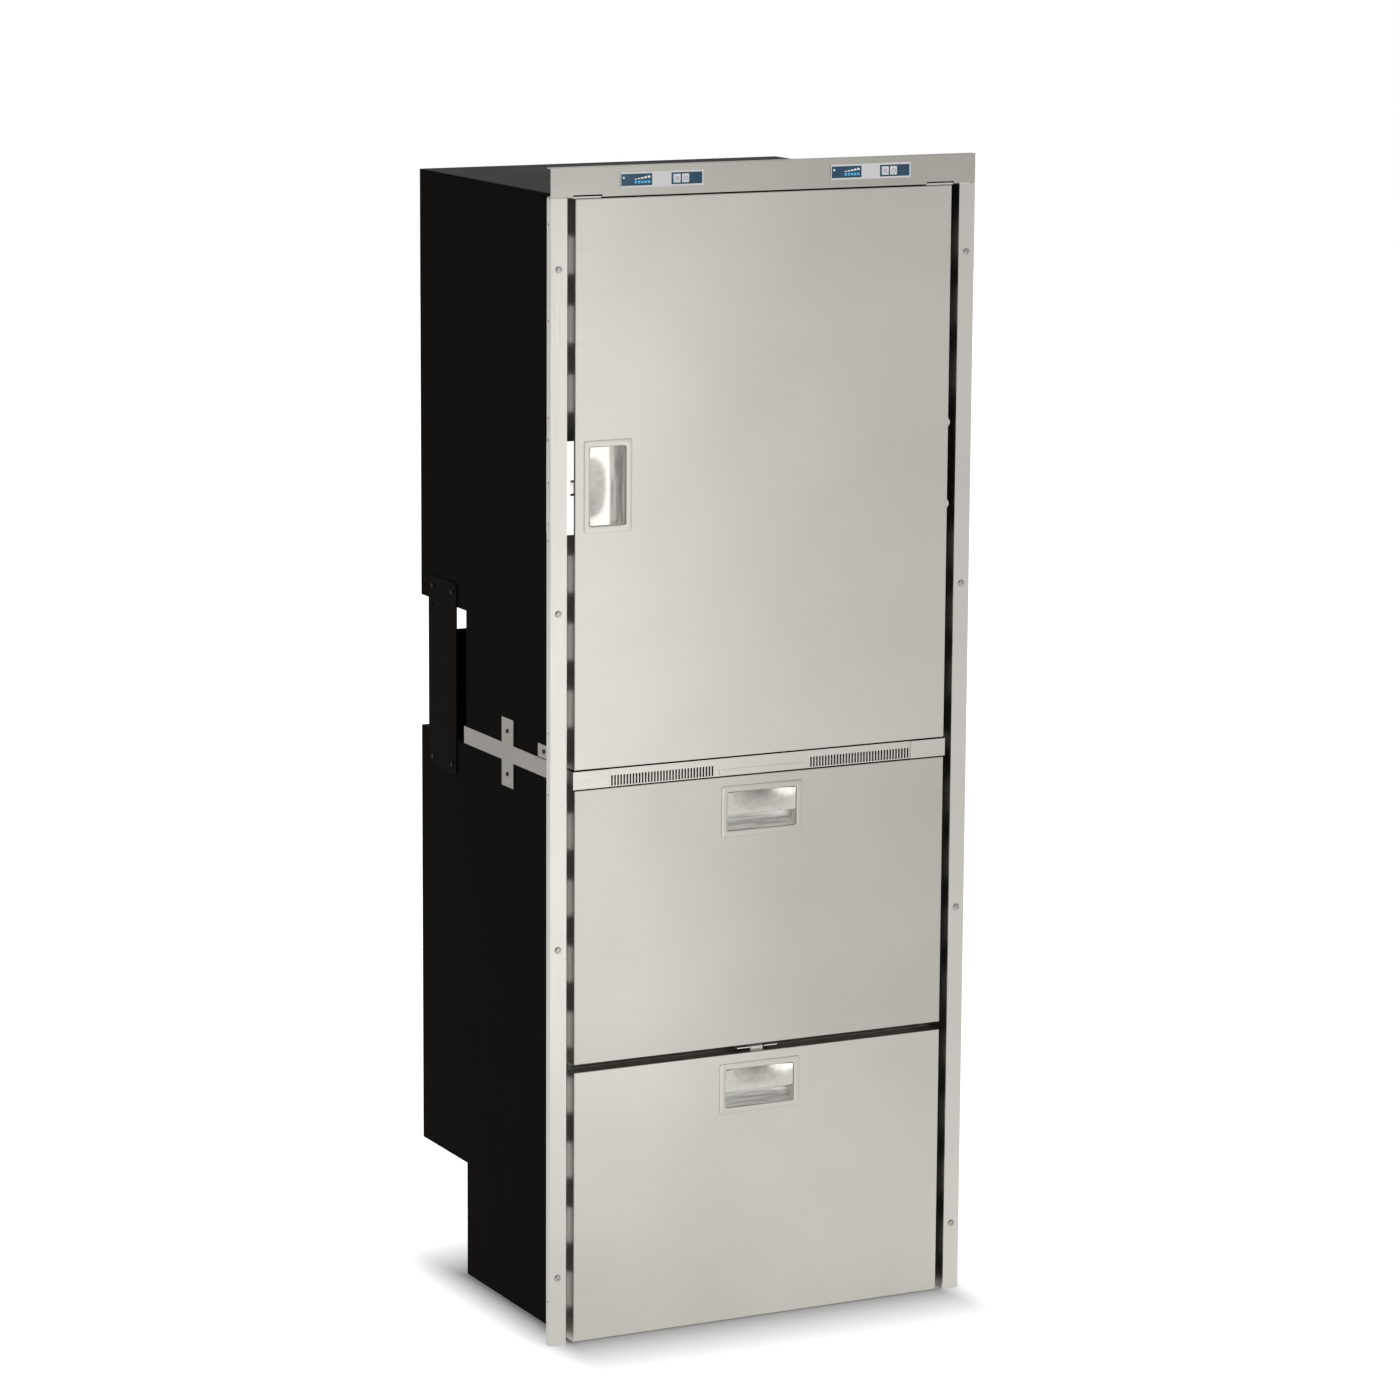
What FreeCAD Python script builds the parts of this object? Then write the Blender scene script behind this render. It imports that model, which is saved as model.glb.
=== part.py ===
"""Tall built-in refrigerator: a door compartment above two drawer compartments behind one front flange.

The frame: +X to the right as the user sees it, +Y from the front to the back, +Z up. The origin is at the
bottom centre of the whole unit's box. In the expressions below, y is counted from the flange's front face.
"""
import FreeCAD, Part
import Sketcher
import os
import re

os.makedirs("parts", exist_ok=True)
doc = FreeCAD.newDocument("built_in_refrigerator")
Vector = FreeCAD.Vector

# ------------------------------------------------------------------ driving dimensions, in millimetres
sizes = {
    "flange_width": 640,  # front flange, edge to edge
    "flange_height": 1610,  # front flange, floor to top
    "flange_reach": 515,  # flange face to the back of the casings
    "steel": 1.5,  # stainless sheet of the flange and trims
    "upright_face": 24,  # face of each flange upright
    "rail_face": 40,  # face of the top rail
    "return_deep": 12,  # folded edge behind the flange
    "seam_gap": 0.5,  # joint between rail and uprights
    "slot_tall": 50,  # window in the upright's inner fold, height
    "slot_from": 29,  # window, from the flange face
    "slot_deep": 16,  # window, depth
    "slot_pitch": 92,  # windows beside the drawers, spacing
    "slot_first": 122,  # windows, from the door's centre to the nearest
    "slot_last": 77.5,  # windows, from the door's ends to the nearest
    "screw_edge": 11.7,  # flange screws, from the outer edge
    "screw_low": 96,  # lowest flange screw above the floor
    "screw_high": 134,  # highest flange screw below the flange's top
    "screw_head": 1.8,  # flange screw head, height
    "screw_head_round": 4.2,  # flange screw head, radius
    "screw_neck_round": 2.2,  # flange screw neck in the sheet's hole, radius
    "screw_neck": 2.5,  # flange screw neck, behind the face
    "screw_shank_round": 2,  # flange screw shank, radius
    "screw_long": 25,  # flange screw, behind the face
    "foot_gap": 2,  # upright's foot to the seals
    "edge_hole_round": 1.5,  # small holes in the outer folds, radius
    "side_gap": 12,  # upright to door or drawer
    "rail_gap": 2,  # top rail to door
    "door_gap": 2,  # door to vent strip
    "vent_gap": 1.5,  # vent strip to upper drawer
    "drawer_gap": 11,  # between the drawers
    "floor_gap": 2,  # lower drawer to the floor
    "drawer_height": 380,  # drawer front
    "vent_height": 24.5,  # vent strip, and gap between the casings
    "vent_overhang": 2.2,  # vent strip past the drawers, each side
    "vent_deep": 14,  # vent strip, front to back
    "skin": 1.2,  # stainless skin of door and drawers
    "skin_deep": 24,  # folded edge of the skins
    "front_bend": 1.2,  # outside bend of the skins
    "front_thick": 38,  # door and drawer fronts without the seal
    "core_inset": 3,  # inner panel inside the skin's edge
    "gasket_thick": 11.7,  # magnetic seal
    "gasket_wide": 14,  # magnetic seal, width
    "gasket_edge": 16,  # seal, from the door's edge
    "gasket_low_edge": 2,  # seal, from a drawer's edge at the divider
    "seal_gap": 0.3,  # seal to casing
    "case_inset": 38,  # flange edge to casing side
    "case_wall": 1.2,  # painted casing sheet
    "case_rise": 0.5,  # casing top above the door's top
    "foam_wall": 40,  # casing outside to liner inside
    "liner_wall": 2,  # white liner
    "recess_deep": 155,  # machine recess, front to back
    "recess_tall": 164,  # machine recess, height
    "divider_half": 23.5,  # half of the wall between the drawer cavities
    "hinge_in": 15,  # hinge axis from the door's side
    "hinge_back": 18,  # hinge axis from the flange face
    "hinge_pin_round": 4,  # hinge pin, radius
    "hinge_pin_long": 18,  # hinge pin, length
    "hinge_plate": 2.5,  # hinge plates, thickness
    "hinge_wide": 42,  # hinge plates, width
    "hinge_corner": 33,  # hinge plates, from the flange's outer edge
    "hinge_front": 2.5,  # hinge plates' front edge, from the flange face
    "hinge_rear": 110,  # hinge plates' rear edge
    "run": 0.05,  # radial running clearance of pins
    "bush_round": 9,  # hinge bush, outer radius
    "notch_tall": 3,  # rail notch over a hinge plate
    "latch_long": 124,  # latch frame, long side
    "latch_wide": 71,  # latch frame, short side
    "latch_edge": 13,  # latch frame, from the door or drawer edge
    "latch_proud": 0.8,  # latch frame, in front of the skin
    "latch_frame": 8.8,  # latch frame, border
    "latch_corner": 3,  # latch frame, corner radius
    "pocket_deep": 15,  # latch pocket behind the paddle
    "bowl_round": 17,  # finger bowl, radius
    "bowl_back": 4,  # finger bowl, axis from the flange face
    "latch_wall": 2.5,  # latch housing wall
    "paddle_wide": 32,  # paddle, across
    "paddle_dish": 34,  # paddle, dish radius
    "paddle_thick": 1.6,  # paddle sheet
    "paddle_play": 0.5,  # paddle to housing
    "paddle_swing": 1.4,  # paddle's pivot edge to housing
    "paddle_pin_round": 2,  # paddle pivot, radius
    "paddle_pin_in": 3.6,  # paddle pivot, from the pocket's edge
    "paddle_pin_back": 6.5,  # paddle pivot, from the flange face
    "bolt_wide": 19,  # latch bolt, width
    "bolt_thick": 3,  # latch bolt, thickness
    "bolt_back": 9.8,  # latch bolt, from the flange face
    "bolt_inside": 7,  # latch bolt, length inside the pocket
    "bolt_reach": 5,  # latch bolt, past the edge
    "bolt_play": 0.3,  # latch bolt to its slots
    "strike_tall": 126,  # strike plate, height
    "strike_deep": 27,  # strike plate, side leg
    "strike_gap": 1,  # strike plate to door edge
    "mouth_play": 1,  # open mouths that let the bolts out
    "keeper_wide": 62,  # drawer keeper, width
    "keeper_front": 8,  # drawer keeper, front edge
    "keeper_rise": 4,  # drawer keeper, above the drawer's edge
    "backing_deep": 16,  # strike backing behind the flange, rear edge
    "backing_tall": 121,  # strike backing, height
    "plug_apart": 113,  # edge plugs, spacing
    "plug_round": 6.8,  # edge plug, radius
    "plug_proud": 5.5,  # edge plug, past the door's side
    "plug_back": 10,  # edge plugs, from the flange face
    "grille_tall": 16.8,  # grille, height
    "grille_first": 73.6,  # first grille slot's place, from the middle
    "grille_last": 1.8,  # last grille slot's place, from the grille's end
    "grille_inset": 1,  # grille face behind the strip's ends
    "grille_slot": 2.4,  # grille slots, width
    "grille_rim": 1.4,  # grille slots, from the grille's edges
    "strip_end": 54.4,  # solid ends of the vent strip
    "badge_half": 65,  # blank raised field on the grille, half length
    "badge_tall": 8.2,  # blank raised field, height
    "badge_low": 0.8,  # blank raised field, above the strip's lower edge
    "badge_proud": 0.6,  # blank raised field, in front of the grille
    "panel_long": 122.8,  # control plate, length
    "panel_tall": 20.8,  # control plate, height
    "panel_centre": 157.5,  # control plates, from the middle
    "panel_above": 10.5,  # control plate, above the rail's lower edge
    "panel_proud": 1.2,  # control plate, in front of the rail
    "window_long": 45.5,  # dark windows, length
    "window_tall": 15.6,  # dark windows, height
    "window_edge": 1.2,  # first window, from the plate's left end
    "window_second": 75.2,  # second window, from the plate's left end
    "key_first": 78,  # first key, from the plate's left end
    "key_pitch": 12.6,  # keys, spacing
    "key_wide": 10.6,  # keys, width
    "key_tall": 11.6,  # keys, height
    "key_play": 0.2,  # keys to their windows
    "key_proud": 0.4,  # keys, in front of the plate
    "key_travel": 0.8,  # keys, travel
    "module_deep": 40,  # control modules, behind the rail
    "module_rim": 2,  # control module inside its plate
    "module_play": 0.5,  # control module to its cut-outs
    "carrier_rear": 110,  # rail carrier, rear edge
    "carrier_end": 20,  # rail carrier's ends, inside the flange's edges
    "channel_in": 30,  # stacking channel, flange width
    "channel_past": 4,  # stacking channel, behind the recess's front
    "arm_front": 199,  # cross arm, front edge
    "arm_wide": 38,  # cross arm, width
    "arm_reach": 36,  # cross arm, above and below the channel
    "tab_rear": 118,  # side tab, rear edge
    "tab_tall": 18.5,  # side tab, height
    "tab_rise": 1.2,  # side tab, above the channel
    "bracket_in": 30,  # rear bracket's rear edge, in front of the casing's back
    "bracket_wide": 95,  # rear bracket, width
    "bracket_low": 722,  # rear bracket, lower edge
    "bracket_tall": 275,  # rear bracket, height
    "bracket_corner": 9,  # rear bracket, corner radius
    "bracket_thick": 2,  # rear bracket, thickness
    "bracket_edge": 14,  # rear bracket, screws from its edges
    "spare_hole": 41,  # rear bracket, open holes below its upper edge
    "spare_hole_round": 2.2,  # rear bracket, open holes, radius
    "small_screw_round": 3,  # small screw heads, radius
    "small_screw_high": 1.2,  # small screw heads, height
    "guard_in": 6,  # machine guard, in front of the casing's back
    "guard_end": 12,  # machine guard's ends, inside the casing's sides
    "guard_tall": 136,  # machine guard, height
    "guard_foot": 16,  # machine guard, foot
    "pump_round": 60,  # compressor shell, radius
    "pump_tall": 112,  # compressor shell, height
    "pump_foot": 12,  # compressor rubber feet, height
    "pump_centre": 165,  # compressors, from the middle
    "pump_in": 77,  # compressors' centres, behind the recess's front
    "pump_edge": 8,  # compressor foot plates, past the shells
    "condenser_half": 62,  # condenser, half width
    "condenser_in": 8,  # condenser's front, behind the recess's front
    "condenser_deep": 28,  # condenser, depth
    "condenser_tall": 140,  # condenser, height
    "fan_deep": 26,  # fan frame, depth
    "fan_round": 54,  # fan blades, radius
    "fan_play": 3,  # fan blades to frame
    "fan_rise": 74,  # fan axis, above the lower casing
    "spider_thick": 4,  # fan bracket, thickness
    "spider_half": 4,  # fan bracket, half width
    "boss_deep": 7,  # fan bracket's boss, depth
    "shaft_in": 3,  # fan shaft's end, inside the frame
    "hub_in": 4,  # fan hub's front, inside the frame
    "blade_thick": 2,  # fan blades, thickness
    "blade_root": 3,  # fan blades' roots, inside the hub
    "hub_round": 19,  # fan hub, radius
    "hub_deep": 14,  # fan hub, depth
    "shaft_round": 2,  # fan shaft, radius
    "plate_thick": 8,  # evaporator plates, thickness
    "plate_end": 72,  # evaporator plates, inside the liner's sides
    "shelf_front": 140,  # shelves, front edge
    "shelf_back": 13,  # shelves' rear edge, in front of the liner's back
    "shelf_play": 2,  # shelves to the liner's sides
    "shelf_bar": 5,  # shelf frame bars, thickness
    "shelf_wire": 1.4,  # shelf cross wires, radius
    "shelf_rise": 10,  # lowest shelf above the liner's step
    "shelf_head": 175.5,  # highest shelf below the liner's roof
    "ledge_wide": 9,  # shelf ledges, width
    "ledge_thick": 5,  # shelf ledges, height
    "bin_side": 42,  # door bins, inside the cavity's sides
    "bin_deep": 85,  # door bins, depth
    "bin_tall": 80,  # door bins, height
    "bin_first": 62,  # lowest bin above the door's lower edge
    "bin_last": 235,  # highest bin's floor below the door's top
    "bin_wall": 2.5,  # door bin walls
    "rib_wide": 20,  # inner door ribs, width
    "rib_end": 46,  # inner door ribs, from the door's ends
    "rib_deep": 62,  # inner door ribs, depth
    "slide_tall": 45,  # drawer slides, height
    "slide_end": 17,  # drawer slides, in front of the liner's back
    "slide_start": 58,  # drawer slides, from the flange face
    "slide_wide": 12.7,  # drawer slides, width
    "slide_sheet": 1.5,  # drawer slides, sheet
    "slide_play": 0.5,  # clearance in the drawer slides
    "slide_drop": 34,  # slide centre below the basket's rim
    "basket_wall": 3,  # drawer baskets, wall
    "basket_lift": 8,  # baskets above the cavity floor
    "basket_corner": 14,  # baskets, corner radius
    "upper_basket_tall": 235,  # upper basket, height
    "lower_basket_tall": 235,  # lower basket, height
    "upper_basket_gap": 35,  # upper basket, in front of the liner's back
    "lower_basket_gap": 14,  # lower basket, in front of the liner's step
}
sheet = doc.addObject("Spreadsheet::Sheet", "Size")
for row, (name, value) in enumerate(sizes.items(), 1):
    sheet.set(f"A{row}", name)
    sheet.set(f"B{row}", str(value))
    sheet.setAlias(f"B{row}", name)
doc.recompute()

# ------------------------------------------------------------------ places worked out from the sizes
places = {
    "mid_depth": "(flange_reach - screw_head)/2",
    "flange_half": "flange_width/2",
    "front_half": "flange_half - upright_face - side_gap",
    "case_half": "flange_half - case_inset",
    "case_front": "front_thick + gasket_thick + seal_gap",
    "fold_x": "flange_half - upright_face",
    "rail_low": "flange_height - rail_face",
    "door_top": "rail_low - rail_gap",
    "drawer_2_low": "floor_gap",
    "drawer_2_top": "drawer_2_low + drawer_height",
    "drawer_1_low": "drawer_2_top + drawer_gap",
    "drawer_1_top": "drawer_1_low + drawer_height",
    "vent_low": "drawer_1_top + vent_gap",
    "vent_top": "vent_low + vent_height",
    "door_low": "vent_top + door_gap",
    "door_mid": "(door_low + door_top)/2",
    "drawers_mid": "(drawer_2_low + drawer_1_top)/2",
    "gap_mid": "drawer_2_top + drawer_gap/2",
    "case_top": "door_top + case_rise",
    "recess_front": "flange_reach - recess_deep",
    "liner_half": "case_half - foam_wall",
    "liner_back": "flange_reach - foam_wall",
    "liner_step": "recess_front - foam_wall",
    "upper_floor": "vent_top + foam_wall",
    "upper_step": "vent_top + recess_tall + foam_wall",
    "upper_roof": "case_top - foam_wall",
    "lower_floor": "foam_wall",
    "lower_step": "recess_tall + foam_wall",
    "lower_roof": "gap_mid - divider_half",
    "middle_floor": "gap_mid + divider_half",
    "middle_roof": "vent_low - foam_wall",
    "hinge_x": "front_half - hinge_in",
    "plug_x": "front_half",
    "carrier_low": "case_top + hinge_plate",
    "pocket_half": "latch_long/2 - latch_frame",
    "paddle_edge": "latch_frame + paddle_wide",
    "bowl_mid": "latch_wide - latch_frame - bowl_round",
    "basket_half": "liner_half - slide_wide",
    "carrier_half": "flange_half - carrier_end",
    "channel_rear": "recess_front + channel_past",
    "bracket_front": "flange_reach - bracket_in - bracket_wide",
    "guard_back": "flange_reach - guard_in",
    "guard_half": "case_half - guard_end",
    "pump_back": "recess_front + pump_in",
    "condenser_front": "recess_front + condenser_in",
    "plate_half": "liner_half - plate_end",
    "shelf_rear": "liner_back - shelf_back",
    "shelf_pitch": "(upper_roof - shelf_head - upper_step - shelf_rise)/2",
    "bin_half": "liner_half - bin_side",
    "bin_pitch": "(door_top - bin_last - door_low - bin_first)/2",
    "slide_long": "liner_back - slide_end - slide_start",
    "upper_basket_rear": "liner_back - upper_basket_gap",
    "lower_basket_rear": "liner_step - lower_basket_gap",
    "fan_z": "vent_low + fan_rise",
    "fan_y": "condenser_front + condenser_deep",
}
WORD = re.compile(r"[A-Za-z_][A-Za-z_0-9]*")


def ex(text):
    """Writes a place in terms of the sheet's cells."""

    def swap(match):
        word = match.group(0)
        if word in places:
            return "(" + ex(places[word]) + ")"
        return "Size." + word if word in sizes else word

    return WORD.sub(swap, str(text))


def bind(obj, **properties):
    for name, text in properties.items():
        obj.setExpression(name, ex(text))


def move(obj, x="0", y="0", z="0", local=False):
    """Places an object; y is counted from the flange's face, unless the object is local to another."""
    obj.setExpression("Placement.Base.x", ex(x))
    obj.setExpression("Placement.Base.y", ex(y if local else f"{y} - mid_depth"))
    obj.setExpression("Placement.Base.z", ex(z))
    return obj


def box(x, y, z, local=False):
    """A box between two places on each axis."""
    obj = doc.addObject("Part::Box", "Box")
    bind(obj, Length=f"{x[1]} - ({x[0]})", Width=f"{y[1]} - ({y[0]})", Height=f"{z[1]} - ({z[0]})")
    return move(obj, x[0], f"({y[0]})", z[0], local)


def across(half):
    """A span that is centred on the middle of the unit."""
    return (f"-({half})", half)


TURNS = {
    "X": FreeCAD.Rotation(Vector(0, 1, 0), 90),
    "Y": FreeCAD.Rotation(Vector(1, 0, 0), -90),
    "Z": FreeCAD.Rotation(),
}


def rod(axis, start, radius, length, local=False):
    """A round bar from a start point along an axis."""
    obj = doc.addObject("Part::Cylinder", "Cylinder")
    obj.Placement = FreeCAD.Placement(Vector(), TURNS[axis])
    bind(obj, Radius=radius, Height=length)
    return move(obj, start[0], f"({start[1]})", start[2], local)


def fuse(*shapes):
    obj = doc.addObject("Part::MultiFuse", "Fusion")
    obj.Shapes = list(shapes)
    obj.Refine = True
    return obj


def group(*shapes):
    obj = doc.addObject("Part::Compound", "Group")
    obj.Links = list(shapes)
    return obj


def cut(base, *tools):
    obj = doc.addObject("Part::Cut", "Cut")
    obj.Base = base
    obj.Tool = tools[0] if len(tools) == 1 else fuse(*tools)
    obj.Refine = True
    return obj


def common(first, second):
    obj = doc.addObject("Part::Common", "Common")
    obj.Base = first
    obj.Tool = second
    return obj


def comb(base, teeth):
    """Cuts many slots that don't touch each other."""
    obj = doc.addObject("Part::Cut", "Comb")
    obj.Base = base
    obj.Tool = group(*teeth)
    return obj


def runs_along(axis):
    """Picks the straight edges that lie along an axis."""

    def chooser(edge):
        if edge.Curve.TypeId != "Part::GeomLine":
            return False
        return abs(abs(edge.Curve.Direction.dot(axis)) - 1) < 1e-6

    return chooser


def soften(base, radius, chooser):
    """Rounds the chosen edges of a solid."""
    doc.recompute()
    obj = doc.addObject("Part::Fillet", "Rounded")
    obj.Base = base
    obj.Edges = [(i + 1, radius, radius) for i, edge in enumerate(base.Shape.Edges) if chooser(edge)]
    return obj


nodes = []


def node(label, obj):
    """Names a finished sub-part."""
    obj.Label = label
    nodes.append(obj)
    return obj


# ------------------------------------------------------------------ bodies made from sketches
def origin_plane(body, role):
    return next(feature for feature in body.Origin.OriginFeatures if feature.Role == role)


def sketch(body, role, rectangles=(), circles=(), offset="0"):
    """A sketch on one of the body's planes, with every size bound to the sheet."""
    obj = body.newObject("Sketcher::SketchObject", "Sketch")
    obj.AttachmentSupport = [(origin_plane(body, role), "")]
    obj.MapMode = "FlatFace"
    obj.setExpression("AttachmentOffset.Base.z", ex(offset))

    def fix(kind, geometry, point, text):
        number = obj.addConstraint(Sketcher.Constraint(kind, -1, 1, geometry, point, 1.0))
        obj.setExpression(f"Constraints[{number}]", ex(text))

    for across_span, up_span in rectangles:
        corners = [Vector(0, 0, 0), Vector(1, 0, 0), Vector(1, 1, 0), Vector(0, 1, 0)]
        lines = [Part.LineSegment(corners[i], corners[(i + 1) % 4]) for i in range(4)]
        first = obj.addGeometry(lines, False)[0]
        for i in range(4):
            obj.addConstraint(Sketcher.Constraint("Coincident", first + i, 2, first + (i + 1) % 4, 1))
            level = "Vertical" if i % 2 else "Horizontal"
            obj.addConstraint(Sketcher.Constraint(level, first + i))
        fix("DistanceX", first, 1, across_span[0])
        fix("DistanceX", first + 1, 1, across_span[1])
        fix("DistanceY", first, 1, up_span[0])
        fix("DistanceY", first + 2, 1, up_span[1])
    for centre_x, centre_y, radius in circles:
        ring = obj.addGeometry(Part.Circle(Vector(0, 0, 0), Vector(0, 0, 1), 1), False)
        fix("DistanceX", ring, 3, centre_x)
        fix("DistanceY", ring, 3, centre_y)
        number = obj.addConstraint(Sketcher.Constraint("Radius", ring, 1.0))
        obj.setExpression(f"Constraints[{number}]", ex(radius))
    return obj


def feature(body, kind, profile, length, backwards=False, through=False):
    """A Pad or a Pocket of a sketch."""
    obj = body.newObject(f"PartDesign::{kind}", kind)
    obj.Profile = profile
    obj.Reversed = backwards
    if through:
        obj.Type = "ThroughAll"
        obj.Midplane = True
    else:
        obj.setExpression("Length", ex(length))
    return obj


def round_edges(body, last, radius, chooser):
    """Rounds the edges that the chooser picks."""
    doc.recompute()
    picked = [f"Edge{i + 1}" for i, edge in enumerate(last.Shape.Edges) if chooser(edge)]
    obj = body.newObject("PartDesign::Fillet", "Fillet")
    obj.Base = (last, picked)
    obj.setExpression("Radius", ex(radius))
    return obj


def new_body(label, x="0", y="0", z="0"):
    obj = doc.addObject("PartDesign::Body", label)
    return move(obj, x, f"({y})", z)


# ------------------------------------------------------------------ casings, foam and liners
def stepped(half, front, rear, step, low, ceiling, top):
    """A box with a step cut out of its lower back edge, as both cabinets have for their machinery."""
    return fuse(
        box(across(half), (front, rear), (ceiling, top)),
        box(across(half), (front, step), (low, top)),
    )


def casing(label, low, top):
    """Black painted sheet, open at the front."""
    ceiling = f"{low} + recess_tall"
    outside = stepped("case_half", "case_front", "flange_reach", "recess_front", low, ceiling, top)
    inside = stepped(
        "case_half - case_wall", "case_front", "flange_reach - case_wall", "recess_front - case_wall",
        f"{low} + case_wall", f"{ceiling} + case_wall", f"{top} - case_wall",
    )
    return node(label, cut(outside, inside))


def foam(label, low, top, tubs):
    """The insulation between casing and liner."""
    block = stepped(
        "case_half - case_wall", "case_front + liner_wall", "flange_reach - case_wall",
        "recess_front - case_wall", f"{low} + case_wall", f"{low} + recess_tall + case_wall",
        f"{top} - case_wall",
    )
    return node(label, cut(block, *tubs))


def tub(floor, step, roof, grow):
    """The outside (grown by the liner's wall) or the inside of one liner cavity."""
    if step is None:
        return box(across(f"liner_half + {grow}"), ("case_front", f"liner_back + {grow}"),
                   (f"{floor} - {grow}", f"{roof} + {grow}"))
    return stepped(
        f"liner_half + {grow}", "case_front", f"liner_back + {grow}", f"liner_step + {grow}",
        f"{floor} - {grow}", f"{step} - {grow}", f"{roof} + {grow}",
    )


def front_plate(low, top):
    """A liner's front edge, which covers the foam."""
    return box(across("case_half - case_wall"), ("case_front", "case_front + liner_wall"),
               (f"{low} + case_wall", f"{top} - case_wall"))


SHELVES = 3
shelf_heights = [f"upper_step + shelf_rise + {count}*shelf_pitch" for count in range(SHELVES)]
upper_tub = ("upper_floor", "upper_step", "upper_roof")
lower_tubs = [("lower_floor", "lower_step", "lower_roof"), ("middle_floor", None, "middle_roof")]

casing("upper_casing", "vent_top", "case_top")
casing("lower_casing", "0", "vent_low")
foam("upper_insulation", "vent_top", "case_top", [tub(*upper_tub, "liner_wall")])
foam("lower_insulation", "0", "vent_low", [tub(*spans, "liner_wall") for spans in lower_tubs])

ledges = []
for height in shelf_heights:
    for side in ("-1", "1"):
        inner = f"{side}*(liner_half - ledge_wide)"
        outer = f"{side}*liner_half"
        span = (outer, inner) if side == "-1" else (inner, outer)
        ledges.append(box(span, ("shelf_front", "shelf_rear"),
                          (f"{height} - shelf_bar/2 - ledge_thick", f"{height} - shelf_bar/2")))
upper_shell = cut(fuse(front_plate("vent_top", "case_top"), tub(*upper_tub, "liner_wall")),
                  tub(*upper_tub, "0"))
node("upper_liner", fuse(upper_shell, *ledges))
liner_ends = [("0", "gap_mid - case_wall"), ("gap_mid + case_wall", "vent_low")]
for name, spans, ends in zip(("drawer_2_liner", "drawer_1_liner"), lower_tubs, liner_ends):
    node(name, cut(fuse(front_plate(*ends), tub(*spans, "liner_wall")), tub(*spans, "0")))

# ------------------------------------------------------------------ stainless front flange
rail_parts = [
    box(across("flange_half"), ("0", "steel"), ("rail_low", "flange_height")),
    box(across("flange_half"), ("0", "return_deep"), ("flange_height - steel", "flange_height")),
    box(across("flange_half"), ("0", "return_deep"), ("rail_low", "rail_low + steel")),
]
rail_cuts = []
for side in (-1, 1):
    notch = ("flange_half - hinge_corner - hinge_wide", "flange_half - hinge_corner")
    span = notch if side > 0 else (f"-({notch[1]})", f"-({notch[0]})")
    rail_cuts.append(box(span, ("-1", "return_deep + 1"), ("rail_low - 1", "rail_low + notch_tall")))
    rail_cuts.append(box(
        (f"{side}*panel_centre - panel_long/2 + module_rim", f"{side}*panel_centre + panel_long/2 - module_rim"),
        ("-1", "steel + 1"),
        ("rail_low + panel_above + module_rim", "rail_low + panel_above + panel_tall - module_rim")))
node("top_rail", cut(fuse(*rail_parts), *rail_cuts))

SLOTS_BY_DRAWERS = 8
SLOTS_BY_DOOR = 3
slot_heights = [f"drawers_mid + {count + 0.5 - SLOTS_BY_DRAWERS / 2}*slot_pitch"
                for count in range(SLOTS_BY_DRAWERS)]
for count in range(SLOTS_BY_DOOR):
    step = f"{count}*((door_top - door_low)/2 - slot_first - slot_last)/{SLOTS_BY_DOOR - 1}"
    slot_heights.append(f"door_mid + slot_first + {step}")
    slot_heights.append(f"door_mid - slot_first - {step}")
EDGE_HOLES = (0.0385, 0.4783, 0.5304, 0.6925, 0.7062, 0.741, 0.7764, 0.7944, 0.8745, 0.954)
SCREWS = 4
screw_heights = [f"screw_low + {count}*(flange_height - screw_low - screw_high)/{SCREWS - 1}"
                 for count in range(SCREWS)]


def span_at(side, inner, outer):
    """A span at one side of the unit, from the inner to the outer place."""
    return (inner, outer) if side > 0 else (f"-({outer})", f"-({inner})")


def upright(label, side):
    """One folded sheet: face, outer edge, windowed inner fold and a foot that lies on the casing's front."""
    height = ("0", "rail_low - seam_gap")
    folds = [
        box(span_at(side, "fold_x", "flange_half"), ("0", "steel"), height),
        box(span_at(side, "flange_half - steel", "flange_half"), ("0", "return_deep"), height),
        box(span_at(side, "fold_x", "fold_x + steel"), ("0", "case_front"), height),
        box(span_at(side, "front_half - gasket_edge + foot_gap", "fold_x + steel"),
            ("case_front - steel", "case_front"), ("0", "vent_low - bolt_play")),
        box(span_at(side, "front_half - gasket_edge + foot_gap", "fold_x + steel"),
            ("case_front - steel", "case_front"), ("vent_top + bolt_play", "case_top - bolt_play")),
    ]
    windows = [
        box(span_at(side, "fold_x - 1", "fold_x + steel + 1"), ("slot_from", "slot_from + slot_deep"),
            (f"{centre} - slot_tall/2", f"{centre} + slot_tall/2"))
        for centre in slot_heights
    ]
    holes = [rod("Y", (f"{side}*(flange_half - screw_edge)", "-1", centre), "screw_neck_round + 2*run",
                 "steel + 2") for centre in screw_heights]
    holes += [rod("X", (f"{side}*flange_half - 2*steel", "return_deep/2 + steel/2", f"flange_height*{height}"), "edge_hole_round",
                  "4*steel") for height in EDGE_HOLES]
    return node(label, comb(fuse(*folds), windows + holes))


upright("left_upright", -1)
upright("right_upright", 1)

flange_screws = []
for side in (-1, 1):
    for centre in screw_heights:
        middle = f"{side}*(flange_half - screw_edge)"
        flange_screws.append(fuse(
            rod("Y", (middle, "-screw_head", centre), "screw_head_round", "screw_head"),
            rod("Y", (middle, "-screw_head/2", centre), "screw_neck_round", "screw_neck + screw_head/2"),
            rod("Y", (middle, "-screw_head/2", centre), "screw_shank_round", "screw_long + screw_head/2")))
node("flange_screws", group(*flange_screws))

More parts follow.
